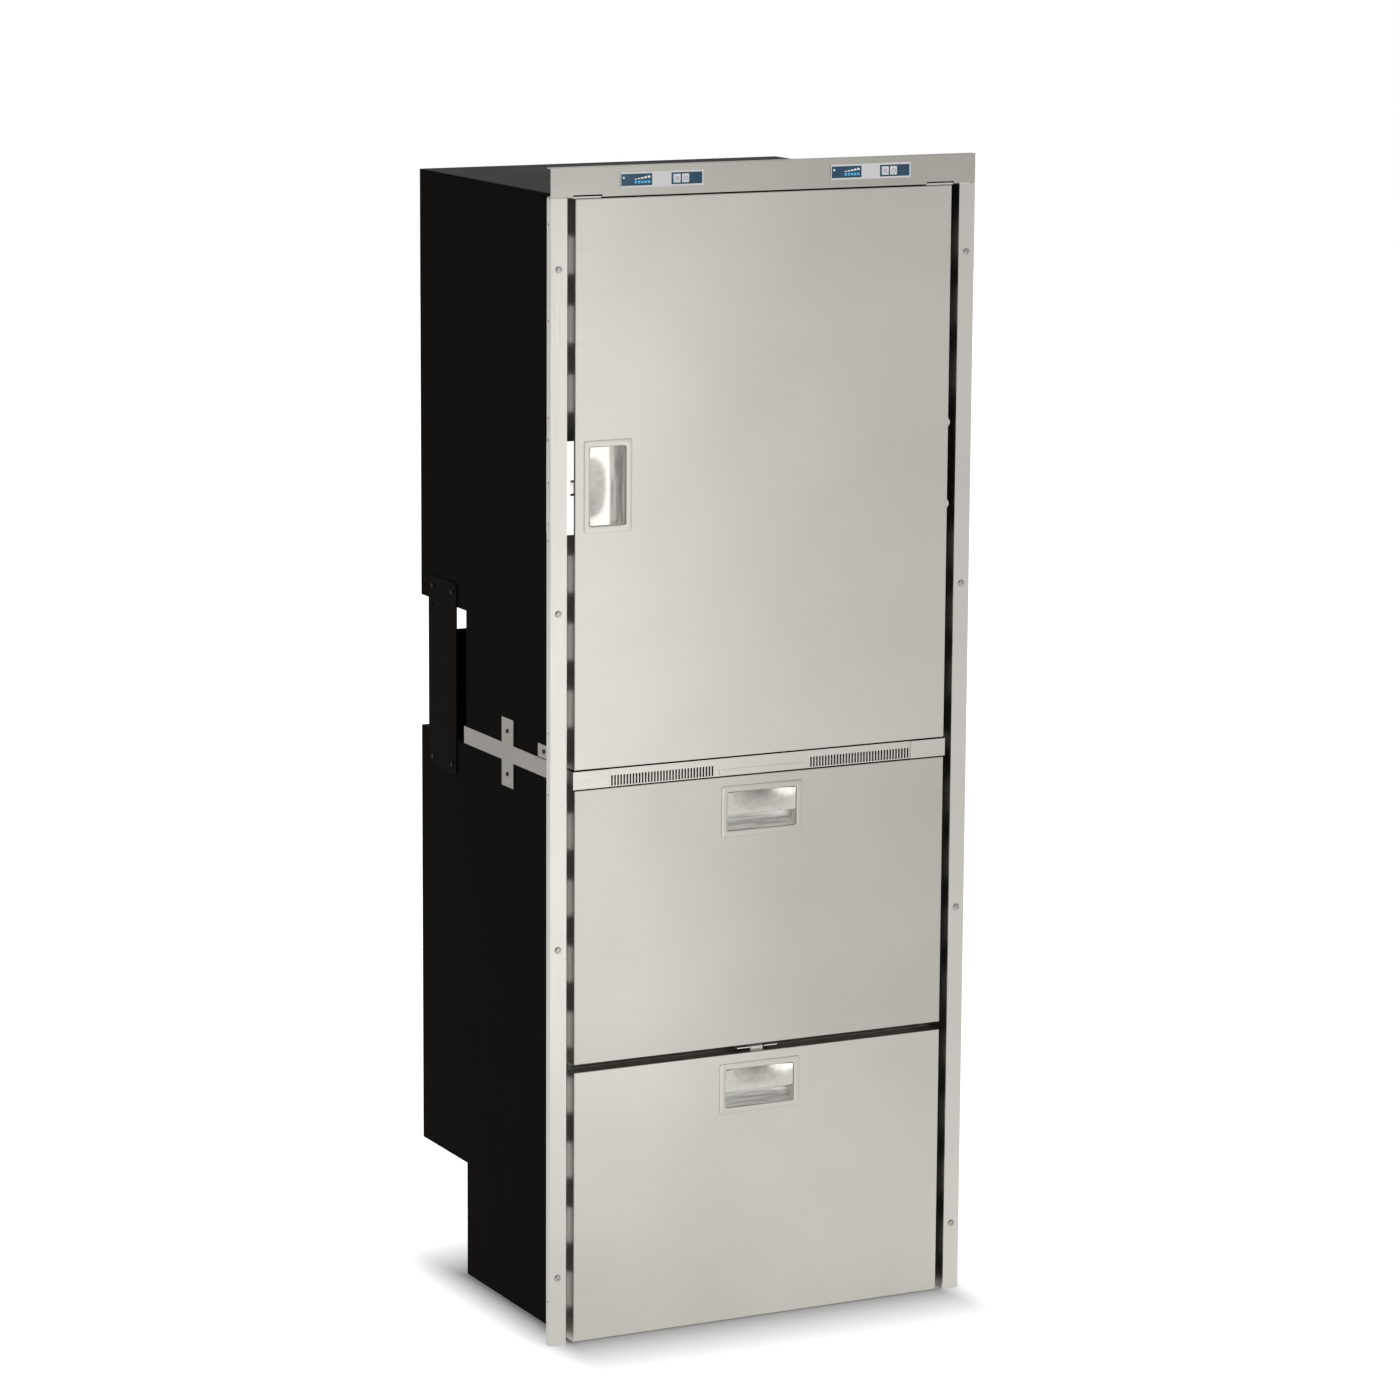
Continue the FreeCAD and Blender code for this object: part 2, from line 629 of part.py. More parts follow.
# the carrier ties the rail to the casing's top and boxes in the control modules
module_spans = []
for side in (-1, 1):
    module_spans.append((f"{side}*panel_centre - panel_long/2 + module_rim + module_play",
                         f"{side}*panel_centre + panel_long/2 - module_rim - module_play"))
module_low = "rail_low + panel_above + module_rim + module_play"
module_top = "rail_low + panel_above + panel_tall - module_rim - module_play"
carrier = fuse(
    box(across("carrier_half"), ("return_deep", "carrier_rear"), ("carrier_low", "carrier_low + steel")),
    box(across("carrier_half"), ("return_deep - steel", "return_deep"), ("rail_low + steel", "flange_height - steel")),
)
carrier_windows = [
    box((f"{span[0]} - module_play", f"{span[1]} + module_play"), ("return_deep - steel - 1", "return_deep + 1"),
        (f"{module_low} - module_play", f"{module_top} + module_play"))
    for span in module_spans
]
node("rail_carrier", cut(carrier, *carrier_windows))

# ------------------------------------------------------------------ controls in the top rail
key_middle = "rail_low + panel_above + panel_tall/2"


def key_span(side, count, play="0"):
    start = f"{side}*panel_centre - panel_long/2 + key_first + {count}*key_pitch"
    return (f"{start} - {play}", f"{start} + key_wide + {play}")


def panel_span(side, start, long):
    left = f"{side}*panel_centre - panel_long/2 + {start}"
    return (left, f"{left} + {long}")


panels = []
modules = []
for side, span in zip((-1, 1), module_spans):
    plate = box(panel_span(side, "0", "panel_long"), ("-panel_proud", "0"),
                ("rail_low + panel_above", "rail_low + panel_above + panel_tall"))
    windows = [
        box(panel_span(side, start, "window_long"), ("-panel_proud - 1", "1"),
            (f"{key_middle} - window_tall/2", f"{key_middle} + window_tall/2"))
        for start in ("window_edge", "window_second")
    ]
    panels.append(cut(plate, *windows))
    keys = [key_span(side, count, "key_play") for count in (0, 1)]
    body_box = box(span, ("0", "module_deep"), (module_low, module_top))
    glasses = [
        box(panel_span(side, f"{start} + key_play", "window_long - 2*key_play"), ("-panel_proud + 0.3", "0"),
            (f"{key_middle} - window_tall/2 + key_play", f"{key_middle} + window_tall/2 - key_play"))
        for start in ("window_edge", "window_second")
    ]
    wells = [box(key, ("-panel_proud - 1", "key_travel + 1.4"),
                 (f"{key_middle} - key_tall/2 - key_play", f"{key_middle} + key_tall/2 + key_play"))
             for key in keys]
    modules.append(cut(fuse(body_box, *glasses), *wells))
node("control_panels", group(*panels))
node("control_modules", group(*modules))
for name, side in (("left", -1), ("right", 1)):
    for count in (0, 1):
        node(f"{name}_key_{count + 1}", box(
            key_span(side, count), ("-panel_proud - key_proud", "1"),
            (f"{key_middle} - key_tall/2", f"{key_middle} + key_tall/2")))

# ------------------------------------------------------------------ vent strip between door and drawers
strip_half = "front_half + vent_overhang"
hinge_room = box(("flange_half - hinge_corner - hinge_wide - bolt_play", "flange_half - hinge_corner + bolt_play"),
                 ("hinge_front - bolt_play", "hinge_rear + bolt_play"),
                 ("vent_top - hinge_plate - bolt_play", "vent_top + 1"))
strip = cut(
    box(across(strip_half), ("0", "vent_deep"), ("vent_low", "vent_top")),
    box(across(f"{strip_half} - steel"), ("steel", "vent_deep + 1"), ("vent_low + steel", "vent_top - steel")),
    box(across(f"{strip_half} - strip_end"), ("-1", "vent_deep + 1"), ("vent_low - 1", "vent_top + 1")),
    hinge_room,
)
node("vent_strip", strip)
grille_half = f"{strip_half} - strip_end"
grille_block = fuse(
    cut(
        box(across(grille_half), ("grille_inset", "vent_deep"), ("vent_low", "vent_top")),
        box(across(f"{grille_half} - steel"), ("grille_inset + steel", "vent_deep + 1"),
            ("vent_low + steel", "vent_top - steel")),
    ),
    box(across("badge_half"), ("grille_inset - badge_proud", "grille_inset"),
        ("vent_low + badge_low", "vent_low + badge_low + badge_tall")),
)
GRILLE_SLOTS = 34
grille_slots = []
for side in (-1, 1):
    for count in range(GRILLE_SLOTS):
        middle = f"{side}*(grille_first + {count + 0.5}*({grille_half} - grille_last - grille_first)/{GRILLE_SLOTS})"
        grille_slots.append(box((f"{middle} - grille_slot/2", f"{middle} + grille_slot/2"),
                                ("grille_inset - 1", "grille_inset + steel + 1"),
                                ("vent_low + grille_rim", "vent_low + grille_tall - grille_rim")))
node("vent_grille", comb(grille_block, grille_slots))


# ------------------------------------------------------------------ hinges
def hinge(label, side, low, pin_from=None, washer=None):
    """A flat plate from the casing to the door's edge, with its pin pressed in."""
    body = new_body(label, "0", "0", low)
    left, right = span_at(side, "flange_half - hinge_corner - hinge_wide", "flange_half - hinge_corner")
    plate = sketch(body, "XY_Plane", [((left, right), ("hinge_front", "hinge_rear"))])
    last = feature(body, "Pad", plate, "hinge_plate")
    if pin_from:
        ring = sketch(body, "XY_Plane", circles=[("hinge_x", "hinge_back", "hinge_pin_round")])
        last = feature(body, "Pad", ring, pin_from, backwards=washer is None)
    if washer:
        ring = sketch(body, "XY_Plane", circles=[("hinge_x", "hinge_back", "2*hinge_pin_round")])
        last = feature(body, "Pad", ring, washer)
    body.Tip = last
    return node(label, body)


hinge("top_hinge", 1, "case_top", "hinge_pin_long + case_rise")
hinge("bottom_hinge", 1, "vent_top - hinge_plate", "hinge_plate + door_gap + hinge_pin_long",
      "hinge_plate + door_gap - seal_gap")
hinge("hinge_blank", -1, "case_top")


# ------------------------------------------------------------------ latches
def latch_place(piece, kind):
    """Turns a latch piece from its own frame, where it lies under an upper edge, to the door or a drawer."""
    obj = group(piece)
    if kind == "door":
        obj.Placement = FreeCAD.Placement(Vector(), FreeCAD.Rotation(Vector(0, 1, 0), -90))
        return move(obj, "-front_half + latch_edge", "0", "door_mid")
    return move(obj, "0", "0", f"{kind}_top - latch_edge")


def latch_block(grow, front):
    """The housing behind the frame: the pocket for the paddle and the round finger bowl."""
    half = f"pocket_half + {grow}"
    return fuse(
        box(across(half), (front, f"pocket_deep + {grow}"),
            (f"-(latch_wide - latch_frame) - {grow}", f"-latch_frame + {grow}"), local=True),
        rod("X", (f"-({half})", "bowl_back", "-(bowl_mid)"), f"bowl_round + {grow}", f"2*({half})", local=True),
    )


def latch_solid():
    """All the room that a latch housing takes behind the skin."""
    whole = latch_block("latch_wall", "-latch_proud - 1")
    keep = box(across("latch_long"), ("0", "front_thick"), ("-latch_wide", "latch_edge"), local=True)
    return common(whole, keep)


def bolt_slot(top):
    """The channel that the bolt runs in, up to and through the edge."""
    return box(across("bolt_wide/2 + bolt_play"), ("bolt_back - bolt_play", "bolt_back + bolt_thick + bolt_play"),
               ("-latch_frame - bolt_inside", top), local=True)


def latch(kind, reach):
    frame = soften(box(across("latch_long/2"), ("-latch_proud", "0"), ("-latch_wide", "0"), local=True),
                   sizes["latch_corner"], runs_along(Vector(0, 1, 0)))
    solid = fuse(frame, latch_solid())
    pocket = common(latch_block("0", "-latch_proud - 1"),
                    box(across("latch_long"), ("-latch_proud - 1", "front_thick"), ("-latch_wide", "0"), local=True))
    bearings = rod("X", ("-(pocket_half + latch_wall - 1)", "paddle_pin_back", "-latch_frame - paddle_pin_in"),
                   "paddle_pin_round + run", "2*(pocket_half + latch_wall - 1)", local=True)
    housing = cut(solid, pocket, bearings, bolt_slot("latch_edge"))
    node(f"{kind}_latch_housing", latch_place(housing, kind))

    # the paddle is a dished sheet, which its grip edge pulls forward
    dish_middle = "-latch_frame - paddle_wide*0.42"
    dish_front = "pocket_deep*0.42 - paddle_dish"
    paddle_half = "pocket_half - paddle_play"
    sheet_box = box(across(paddle_half), ("-2", "pocket_deep - 4"),
                    ("-paddle_edge", "-latch_frame - paddle_swing"), local=True)
    start = (f"-({paddle_half})", dish_front, dish_middle)
    tube = cut(rod("X", start, "paddle_dish + paddle_thick", f"2*({paddle_half})", local=True),
               rod("X", start, "paddle_dish", f"2*({paddle_half})", local=True))
    pivot = rod("X", ("-(pocket_half + latch_wall - 1.2)", "paddle_pin_back", "-latch_frame - paddle_pin_in"),
                "paddle_pin_round", "2*(pocket_half + latch_wall - 1.2)", local=True)
    node(f"{kind}_latch_paddle", latch_place(fuse(common(sheet_box, tube), pivot), kind))

    bolt = box(across("bolt_wide/2"), ("bolt_back", "bolt_back + bolt_thick"),
               ("-latch_frame - bolt_inside", f"latch_edge + {reach}"), local=True)
    node(f"{kind}_latch_bolt", latch_place(bolt, kind))


latch("door", "bolt_reach")
latch("drawer_1", "vent_gap - bolt_play")
latch("drawer_2", "bolt_reach")

# strike plate beside the door's latch, and the keeper over the lower drawer's
strike = cut(
    fuse(
        box(("-fold_x", "-front_half - strike_gap"), ("steel", "2*steel"),
            ("door_mid - strike_tall/2", "door_mid + strike_tall/2")),
        box(("-fold_x", "-fold_x + steel"), ("steel", "strike_deep"),
            ("door_mid - strike_tall/2", "door_mid + strike_tall/2")),
    ),
    box(("-front_half - bolt_reach - mouth_play", "-front_half"), ("0", "3*steel"),
        ("door_mid - bolt_wide/2 - mouth_play", "door_mid + bolt_wide/2 + mouth_play")),
)
keeper = cut(
    fuse(
        box(across("keeper_wide/2"), ("keeper_front", "case_front"),
            ("drawer_2_top + keeper_rise", "drawer_2_top + keeper_rise + steel")),
        box(across("keeper_wide/2"), ("case_front - steel", "case_front"),
            ("drawer_2_top + seal_gap", "drawer_1_low - seal_gap")),
    ),
    box(across("bolt_wide/2 + mouth_play"), ("0", "bolt_back + bolt_thick + 3*mouth_play"),
        ("drawer_2_top", "drawer_1_low")),
)
backing = fuse(
    box(("-flange_half + steel", "-flange_half + 2*steel"), ("steel", "backing_deep"),
        ("door_mid - backing_tall/2", "door_mid + backing_tall/2")),
    box(("-flange_half + steel", "-fold_x - steel"), ("backing_deep - steel", "backing_deep"),
        ("door_mid - backing_tall/2", "door_mid + backing_tall/2")),
)
node("latch_strikes", group(strike, backing, keeper))


# ------------------------------------------------------------------ door and drawer fronts
def front_skin(label, low, top):
    """A folded stainless tray with the opening for its latch."""
    tray = new_body(f"{label}_tray", "0", "0", low)
    height = f"{top} - ({low})"
    outline = sketch(tray, "XZ_Plane", [(across("front_half"), ("0", height))])
    solid = feature(tray, "Pad", outline, "skin_deep", backwards=True)

    def front_edge(edge):
        return all(abs(vertex.Y) < 1e-6 for vertex in edge.Vertexes)

    round_edges(tray, solid, "front_bend", front_edge)
    hollow = sketch(tray, "XZ_Plane", [(across("front_half - skin"), ("skin", f"{height} - skin"))], offset="-skin_deep")
    tray.Tip = feature(tray, "Pocket", hollow, "skin_deep - skin", backwards=True)
    return tray


def latch_opening(kind):
    """What the latch takes out of a front: the hole for the housing and the bolt's slot."""
    hole = box(across("pocket_half + latch_wall"), ("-1", "skin_deep"),
               ("-(latch_wide - latch_frame) - latch_wall", "-latch_frame + latch_wall"), local=True)
    edge_slot = box(across("bolt_wide/2 + bolt_play"),
                    ("bolt_back - bolt_play", "bolt_back + bolt_thick + bolt_play"),
                    ("0", "latch_edge + 1"), local=True)
    return [latch_place(hole, kind), latch_place(edge_slot, kind)]


plug_heights = ("door_mid - plug_apart/2", "door_mid + plug_apart/2")
plug_holes = [rod("X", ("plug_x - skin - 1", "plug_back", height), "plug_round*0.7 + run", "skin + 2")
              for height in plug_heights]
pin_holes = [
    rod("Z", ("hinge_x", "hinge_back", "door_low - 1"), "hinge_pin_round + 4*run", "skin + 2"),
    rod("Z", ("hinge_x", "hinge_back", "door_top - skin - 1"), "hinge_pin_round + 4*run", "skin + 2"),
]
node("door_skin", cut(front_skin("door", "door_low", "door_top"), *latch_opening("door"),
                      *plug_holes, *pin_holes))
for number in (1, 2):
    kind = f"drawer_{number}"
    node(f"{kind}_skin", cut(front_skin(kind, f"{kind}_low", f"{kind}_top"), *latch_opening(kind)))


def front_core(low, top, kind, takes, adds=()):
    """White inner panel with its foam, inside the skin."""
    core = fuse(
        box(across("front_half - skin"), ("skin", "skin_deep"), (f"{low} + skin", f"{top} - skin")),
        box(across("front_half - core_inset"), ("skin_deep - 1", "front_thick"),
            (f"{low} + core_inset", f"{top} - core_inset")),
        *adds,
    )
    room = latch_place(latch_solid(), kind)
    channel = latch_place(bolt_slot("latch_edge"), kind)
    return cut(core, room, channel, *takes)


bush_ends = (("door_low + skin", 1), ("door_top - skin - hinge_pin_long", 1))
bush_rooms = [rod("Z", ("hinge_x", "hinge_back", low), "bush_round", "hinge_pin_long") for low, _ in bush_ends]
plug_rooms = [rod("X", ("plug_x - 10", "plug_back", height), "plug_round*0.7", "11") for height in plug_heights]
ribs = [box(span_at(side, "bin_half + bin_wall", "bin_half + bin_wall + rib_wide"),
            ("front_thick - 1", "front_thick + rib_deep"), ("door_low + rib_end", "door_top - rib_end"))
        for side in (-1, 1)]
node("door_core", front_core("door_low", "door_top", "door", bush_rooms + plug_rooms, ribs))
for number in (1, 2):
    kind = f"drawer_{number}"
    node(f"{kind}_core", front_core(f"{kind}_low", f"{kind}_top", kind, []))

# white nylon plugs in the spare holes of the door's side, and the bushes that its pins turn in
plugs = []
plug_end = (sizes["flange_width"] / 2 - sizes["upright_face"] - sizes["side_gap"]) + sizes["plug_proud"]
for height in plug_heights:
    disc = rod("X", ("plug_x", "plug_back", height), "plug_round", "plug_proud")
    head = soften(disc, sizes["plug_proud"] * 0.6, lambda edge: edge.BoundBox.XMin > plug_end - 0.01)
    plugs.append(fuse(head, rod("X", ("plug_x - 9", "plug_back", height), "plug_round*0.7", "9.5")))
bushes = [cut(rod("Z", ("hinge_x", "hinge_back", low), "bush_round", "hinge_pin_long"),
              rod("Z", ("hinge_x", "hinge_back", f"{low} - 1"), "hinge_pin_round + run", "hinge_pin_long + 2"))
          for low, _ in bush_ends]
node("door_plugs", group(*plugs, *bushes))


# ------------------------------------------------------------------ seals
def gasket(label, low, top):
    """A grey magnetic seal: a wide foot on the inner panel and a narrower bulb towards the casing."""
    body = new_body(label, "0", "front_thick", "0")
    bulb = "gasket_wide/5"
    outer = (across("front_half - gasket_edge"), (low, top))
    inner = (across("front_half - gasket_edge - gasket_wide"), (f"{low} + gasket_wide", f"{top} - gasket_wide"))
    foot = sketch(body, "XZ_Plane", [outer, inner])
    feature(body, "Pad", foot, "gasket_thick/2", backwards=True)
    outer = (across(f"front_half - gasket_edge - {bulb}"), (f"{low} + {bulb}", f"{top} - {bulb}"))
    inner = (across(f"front_half - gasket_edge - gasket_wide + {bulb}"),
             (f"{low} + gasket_wide - {bulb}", f"{top} - gasket_wide + {bulb}"))
    lip = sketch(body, "XZ_Plane", [outer, inner])
    body.Tip = feature(body, "Pad", lip, "gasket_thick", backwards=True)
    return node(label, body)


gasket("door_gasket", "door_low + gasket_edge", "door_top - gasket_edge")
gasket("drawer_1_gasket", "drawer_1_low + gasket_low_edge", "drawer_1_top - gasket_edge - gasket_low_edge*3")
gasket("drawer_2_gasket", "drawer_2_low + gasket_edge + gasket_low_edge*3", "drawer_2_top - gasket_low_edge")

# ------------------------------------------------------------------ inside the door compartment
shelves = []
CROSS_WIRES = 12
for height in shelf_heights:
    half = "(liner_half - shelf_play)"
    level = (f"{height} - shelf_bar/2", f"{height} + shelf_bar/2")
    frame = [
        box(across(half), ("shelf_front", "shelf_front + shelf_bar"), level),
        box(across(half), ("shelf_rear - shelf_bar", "shelf_rear"), level),
    ]
    for side in (-1, 1):
        frame.append(box(span_at(side, f"{half} - shelf_bar", half), ("shelf_front", "shelf_rear"), level))
    for count in range(CROSS_WIRES):
        x = f"{half}*{(2 * count + 1) / CROSS_WIRES - 1:.4f}"
        frame.append(rod("Y", (x, "shelf_front + shelf_bar/2", height), "shelf_wire",
                         "shelf_rear - shelf_front - shelf_bar"))
    shelves.append(fuse(*frame))
node("shelves", group(*shelves))

bins = []
for count in range(3):
    low = f"door_low + bin_first + {count}*bin_pitch"
    bins.append(cut(
        box(across("bin_half + bin_wall"), ("front_thick", "front_thick + bin_deep"), (low, f"{low} + bin_tall")),
        box(across("bin_half"), ("front_thick + bin_wall", "front_thick + bin_deep - bin_wall"),
            (f"{low} + bin_wall", f"{low} + bin_tall + 1"))))
node("door_bins", group(*bins))

evaporators = [
    box(across("plate_half"), ("liner_back - plate_thick", "liner_back"), ("upper_step + 80", "upper_roof - 130")),
    box(across("plate_half"), ("liner_back - plate_thick", "liner_back"), ("middle_floor + 40", "middle_roof - 40")),
    box(across("plate_half"), ("liner_back - plate_thick", "liner_back"), ("lower_step + 15", "lower_roof - 15")),
]
node("evaporators", group(*evaporators))

# ------------------------------------------------------------------ drawers
basket_spans = {
    1: ("middle_floor + basket_lift", "upper_basket_tall", "upper_basket_rear"),
    2: ("lower_floor + basket_lift", "lower_basket_tall", "lower_basket_rear"),
}


def basket(number):
    """A moulded tub, fixed to the drawer front and to the slides."""
    low, tall, rear = basket_spans[number]
    body = new_body(f"drawer_{number}_basket", "0", "0", low)
    outline = sketch(body, "XY_Plane", [(across("basket_half"), ("front_thick", rear))])
    solid = feature(body, "Pad", outline, tall)
    rounded = round_edges(body, solid, "basket_corner", runs_along(Vector(0, 0, 1)))
    doc.recompute()
    height = rounded.Shape.BoundBox.ZMax
    mouth = [i + 1 for i, face in enumerate(rounded.Shape.Faces) if face.BoundBox.ZMin > height - 0.01]
    hollow = body.newObject("PartDesign::Thickness", "Thickness")
    hollow.Base = (rounded, [f"Face{number}" for number in mouth])
    hollow.Reversed = True
    hollow.setExpression("Value", ex("basket_wall"))
    body.Tip = hollow
    return node(f"drawer_{number}_basket", body)


def channel(side, near, far, half, middle, towards_wall):
    """A C-shaped slide member; near and far are counted from the liner's wall."""
    y = ("slide_start", "slide_start + slide_long")
    web = (near, f"{near} + slide_sheet") if towards_wall else (f"{far} - slide_sheet", far)
    wall_span = lambda a, b: span_at(side, f"liner_half - ({b})", f"liner_half - ({a})")
    return fuse(
        box(wall_span(*web), y, (f"{middle} - {half}", f"{middle} + {half}")),
        box(wall_span(near, far), y, (f"{middle} - {half}", f"{middle} - {half} + slide_sheet")),
        box(wall_span(near, far), y, (f"{middle} + {half} - slide_sheet", f"{middle} + {half}")),
    )


fixed_slides = []
for number in (1, 2):
    basket(number)
    low, tall, rear = basket_spans[number]
    middle = f"({low} + {tall} - slide_drop)"
    outer_half = "slide_tall/2"
    mid_half = "(slide_tall/2 - slide_sheet - slide_play)"
    inner_half = "(slide_tall/2 - 2*slide_sheet - 2*slide_play)"
    mid_near = "slide_sheet + slide_play"
    inner_near = "2*slide_sheet + 2*slide_play"
    fixed_slides += [channel(side, "0", "slide_wide - 2*slide_sheet", outer_half, middle, True) for side in (-1, 1)]
    node(f"drawer_{number}_middle_slides", group(*[
        channel(side, mid_near, "slide_wide - slide_sheet - slide_play", mid_half, middle, True)
        for side in (-1, 1)]))
    node(f"drawer_{number}_inner_slides", group(*[
        channel(side, inner_near, "slide_wide", inner_half, middle, False) for side in (-1, 1)]))
node("fixed_slides", group(*fixed_slides))


# ------------------------------------------------------------------ what ties the two cabinets together
def side_screw(side, y, z, proud):
    """A small pan head on the outside of a side plate."""
    start = f"{side}*(case_half + {proud})" if side > 0 else f"-(case_half + {proud} + small_screw_high)"
    return rod("X", (start, y, z), "small_screw_round", "small_screw_high")


channels = []
tabs = []
brackets = []
small_screws = []
for side in (-1, 1):
    outside = span_at(side, "case_half", "case_half + steel")
    inward = span_at(side, "case_half - channel_in", "case_half + steel")
    spacer = fuse(
        box(outside, ("vent_deep", "channel_rear"), ("vent_low", "vent_top")),
        box(inward, ("vent_deep", "channel_rear"), ("vent_low", "vent_low + steel")),
        box(inward, ("vent_deep", "channel_rear"), ("vent_top - steel", "vent_top")),
        box(outside, ("arm_front", "arm_front + arm_wide"), ("vent_low - arm_reach", "vent_top + arm_reach")),
    )
    if side > 0:
        spacer = cut(spacer, hinge_room)
    channels.append(spacer)
    tabs.append(fuse(
        box(outside, ("case_front", "tab_rear"), ("vent_top + tab_rise", "vent_top + tab_rise + tab_tall")),
        box(span_at(side, "case_half", "fold_x"), ("case_front", "case_front + steel"),
            ("vent_top + tab_rise", "vent_top + tab_rise + tab_tall")),
    ))
    label = f"{'left' if side < 0 else 'right'}_bracket"
    body = new_body(label, "case_half" if side > 0 else "-case_half - bracket_thick", "bracket_front", "bracket_low")
    outline = sketch(body, "YZ_Plane", [(("0", "bracket_wide"), ("0", "bracket_tall"))])
    plate = feature(body, "Pad", outline, "bracket_thick")
    round_edges(body, plate, "bracket_corner", runs_along(Vector(1, 0, 0)))
    spare = [(offset, "bracket_tall - spare_hole", "spare_hole_round")
             for offset in ("bracket_edge", "bracket_wide - bracket_edge")]
    holes = sketch(body, "YZ_Plane", circles=spare)
    body.Tip = feature(body, "Pocket", holes, "bracket_thick", backwards=True)
    brackets.append(body)
    arm_middle = "arm_front + arm_wide/2"
    small_screws += [
        side_screw(side, arm_middle, "vent_low - arm_reach/2", "steel"),
        side_screw(side, arm_middle, "vent_top + arm_reach/2", "steel"),
        side_screw(side, "tab_rear - arm_wide/2", "vent_top + tab_rise + tab_tall/2", "steel"),
    ]
    for offset in ("bracket_edge", "bracket_wide - bracket_edge"):
        for rise in ("bracket_edge", "bracket_tall - bracket_edge"):
            small_screws.append(side_screw(side, f"bracket_front + {offset}", f"bracket_low + {rise}", "bracket_thick"))
node("spacer_channels", group(*channels))
node("side_brackets", group(*brackets, *tabs))
node("bracket_screws", group(*small_screws))

# ------------------------------------------------------------------ machine compartment
GUARD_SLOTS = 24
guard = fuse(
    box(across("guard_half"), ("guard_back - case_wall", "guard_back"), ("vent_low", "vent_low + guard_tall")),
    box(across("guard_half"), ("guard_back - guard_foot", "guard_back"), ("vent_low", "vent_low + case_wall")),
)
guard_slots = []
for count in range(GUARD_SLOTS):
    x = f"guard_half*{(2 * count + 1) / GUARD_SLOTS - 1:.4f}"
    guard_slots.append(box((f"{x} - 3", f"{x} + 3"), ("guard_back - case_wall - 1", "guard_back + 1"),
                           ("vent_low + 20", "vent_low + guard_tall - 30")))
node("machine_guard", comb(guard, guard_slots))

pumps = []
for side in (-1, 1):
    centre = f"{side}*pump_centre"
    shell = rod("Z", (centre, "pump_back", "vent_low + pump_foot + 3"), "pump_round", "pump_tall")
    dome = soften(shell, sizes["pump_round"] / 2, lambda edge: edge.BoundBox.ZLength < 0.01)
    foot_plate = box((f"{centre} - pump_round - pump_edge", f"{centre} + pump_round + pump_edge"),
                     ("pump_back - pump_round + 6", "pump_back + pump_round - 6"),
                     ("vent_low + pump_foot", "vent_low + pump_foot + 6"))
    feet = [rod("Z", (f"{centre} + {dx}*(pump_round - 4)", f"pump_back + {dy}*(pump_round - 18)", "vent_low"), "9",
                "pump_foot + 1") for dx in (-1, 1) for dy in (-1, 1)]
    terminal = box((f"{centre} - 22", f"{centre} + 22"), ("pump_back - pump_round - 6", "pump_back"),
                   ("vent_low + 50", "vent_low + 100"))
    pumps.append(fuse(dome, foot_plate, terminal, *feet))
node("compressors", group(*pumps))

FINS = 20
condenser_block = box(across("condenser_half"), ("condenser_front", "condenser_front + condenser_deep"),
                      ("vent_low", "vent_low + condenser_tall"))
fin_gaps = []
for count in range(FINS):
    x = f"condenser_half*{((2 * count + 1) / FINS - 1) * 0.95:.4f}"
    fin_gaps.append(box((f"{x} - 1.7", f"{x} + 1.7"), ("condenser_front + 4", "fan_y + 1"),
                        ("vent_low + 6", "vent_low + condenser_tall - 6")))
fan_frame = cut(
    box(across("condenser_half"), ("fan_y", "fan_y + fan_deep"), ("vent_low", "vent_low + condenser_tall")),
    rod("Y", ("0", "fan_y - 1", "fan_z"), "fan_round + fan_play", "fan_deep + 2"),
)
fan_spider = [
    box(across("fan_round + fan_play + 1"), ("fan_y + fan_deep - spider_thick", "fan_y + fan_deep"),
        ("fan_z - spider_half", "fan_z + spider_half")),
    rod("Y", ("0", "fan_y + fan_deep - boss_deep", "fan_z"), "hub_round", "boss_deep"),
    rod("Y", ("0", "fan_y + shaft_in", "fan_z"), "shaft_round", "fan_deep - shaft_in - 1"),
]
node("condenser", group(comb(condenser_block, fin_gaps), fuse(fan_frame, *fan_spider)))

BLADES = 5
hub = cut(
    rod("Y", ("0", "fan_y + hub_in", "fan_z"), "hub_round", "hub_deep"),
    rod("Y", ("0", "fan_y + hub_in - 1", "fan_z"), "shaft_round + run", "hub_deep + 2"),
)
blades = []
for count in range(BLADES):
    blade = doc.addObject("Part::Box", "Blade")
    bind(blade, Length="fan_round - hub_round + blade_root", Width="hub_deep*1.2", Height="blade_thick")
    pitch = FreeCAD.Rotation(Vector(1, 0, 0), 35)
    turn = FreeCAD.Rotation(Vector(0, 1, 0), 360 / BLADES * count)
    blade.Placement = FreeCAD.Placement(Vector(), pitch)
    move(blade, "hub_round - blade_root", "-0.45*hub_deep", "-0.35*hub_deep", local=True)
    spun = group(blade)
    spun.Placement = FreeCAD.Placement(Vector(), turn)
    blades.append(move(spun, "0", "fan_y + hub_in + hub_deep/2", "fan_z"))
node("condenser_fan", fuse(hub, *blades))

# ------------------------------------------------------------------ checks and files
doc.recompute()
for obj in doc.Objects:
    bad = [word for word in obj.State if word in ("Invalid", "Error")]
    assert not bad, f"{obj.Label} ({obj.Name}) is {bad}"
for obj in nodes:
    shape = obj.Shape
    assert not shape.isNull() and shape.isValid(), f"{obj.Label} has no valid shape"
    assert len(shape.Solids) > 0, f"{obj.Label} has no solid"
    shape.exportStep(f"parts/{obj.Label}.step")
print(len(nodes), "sub-parts")
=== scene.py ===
import math
import bmesh
import bpy
from mathutils import Matrix, Vector


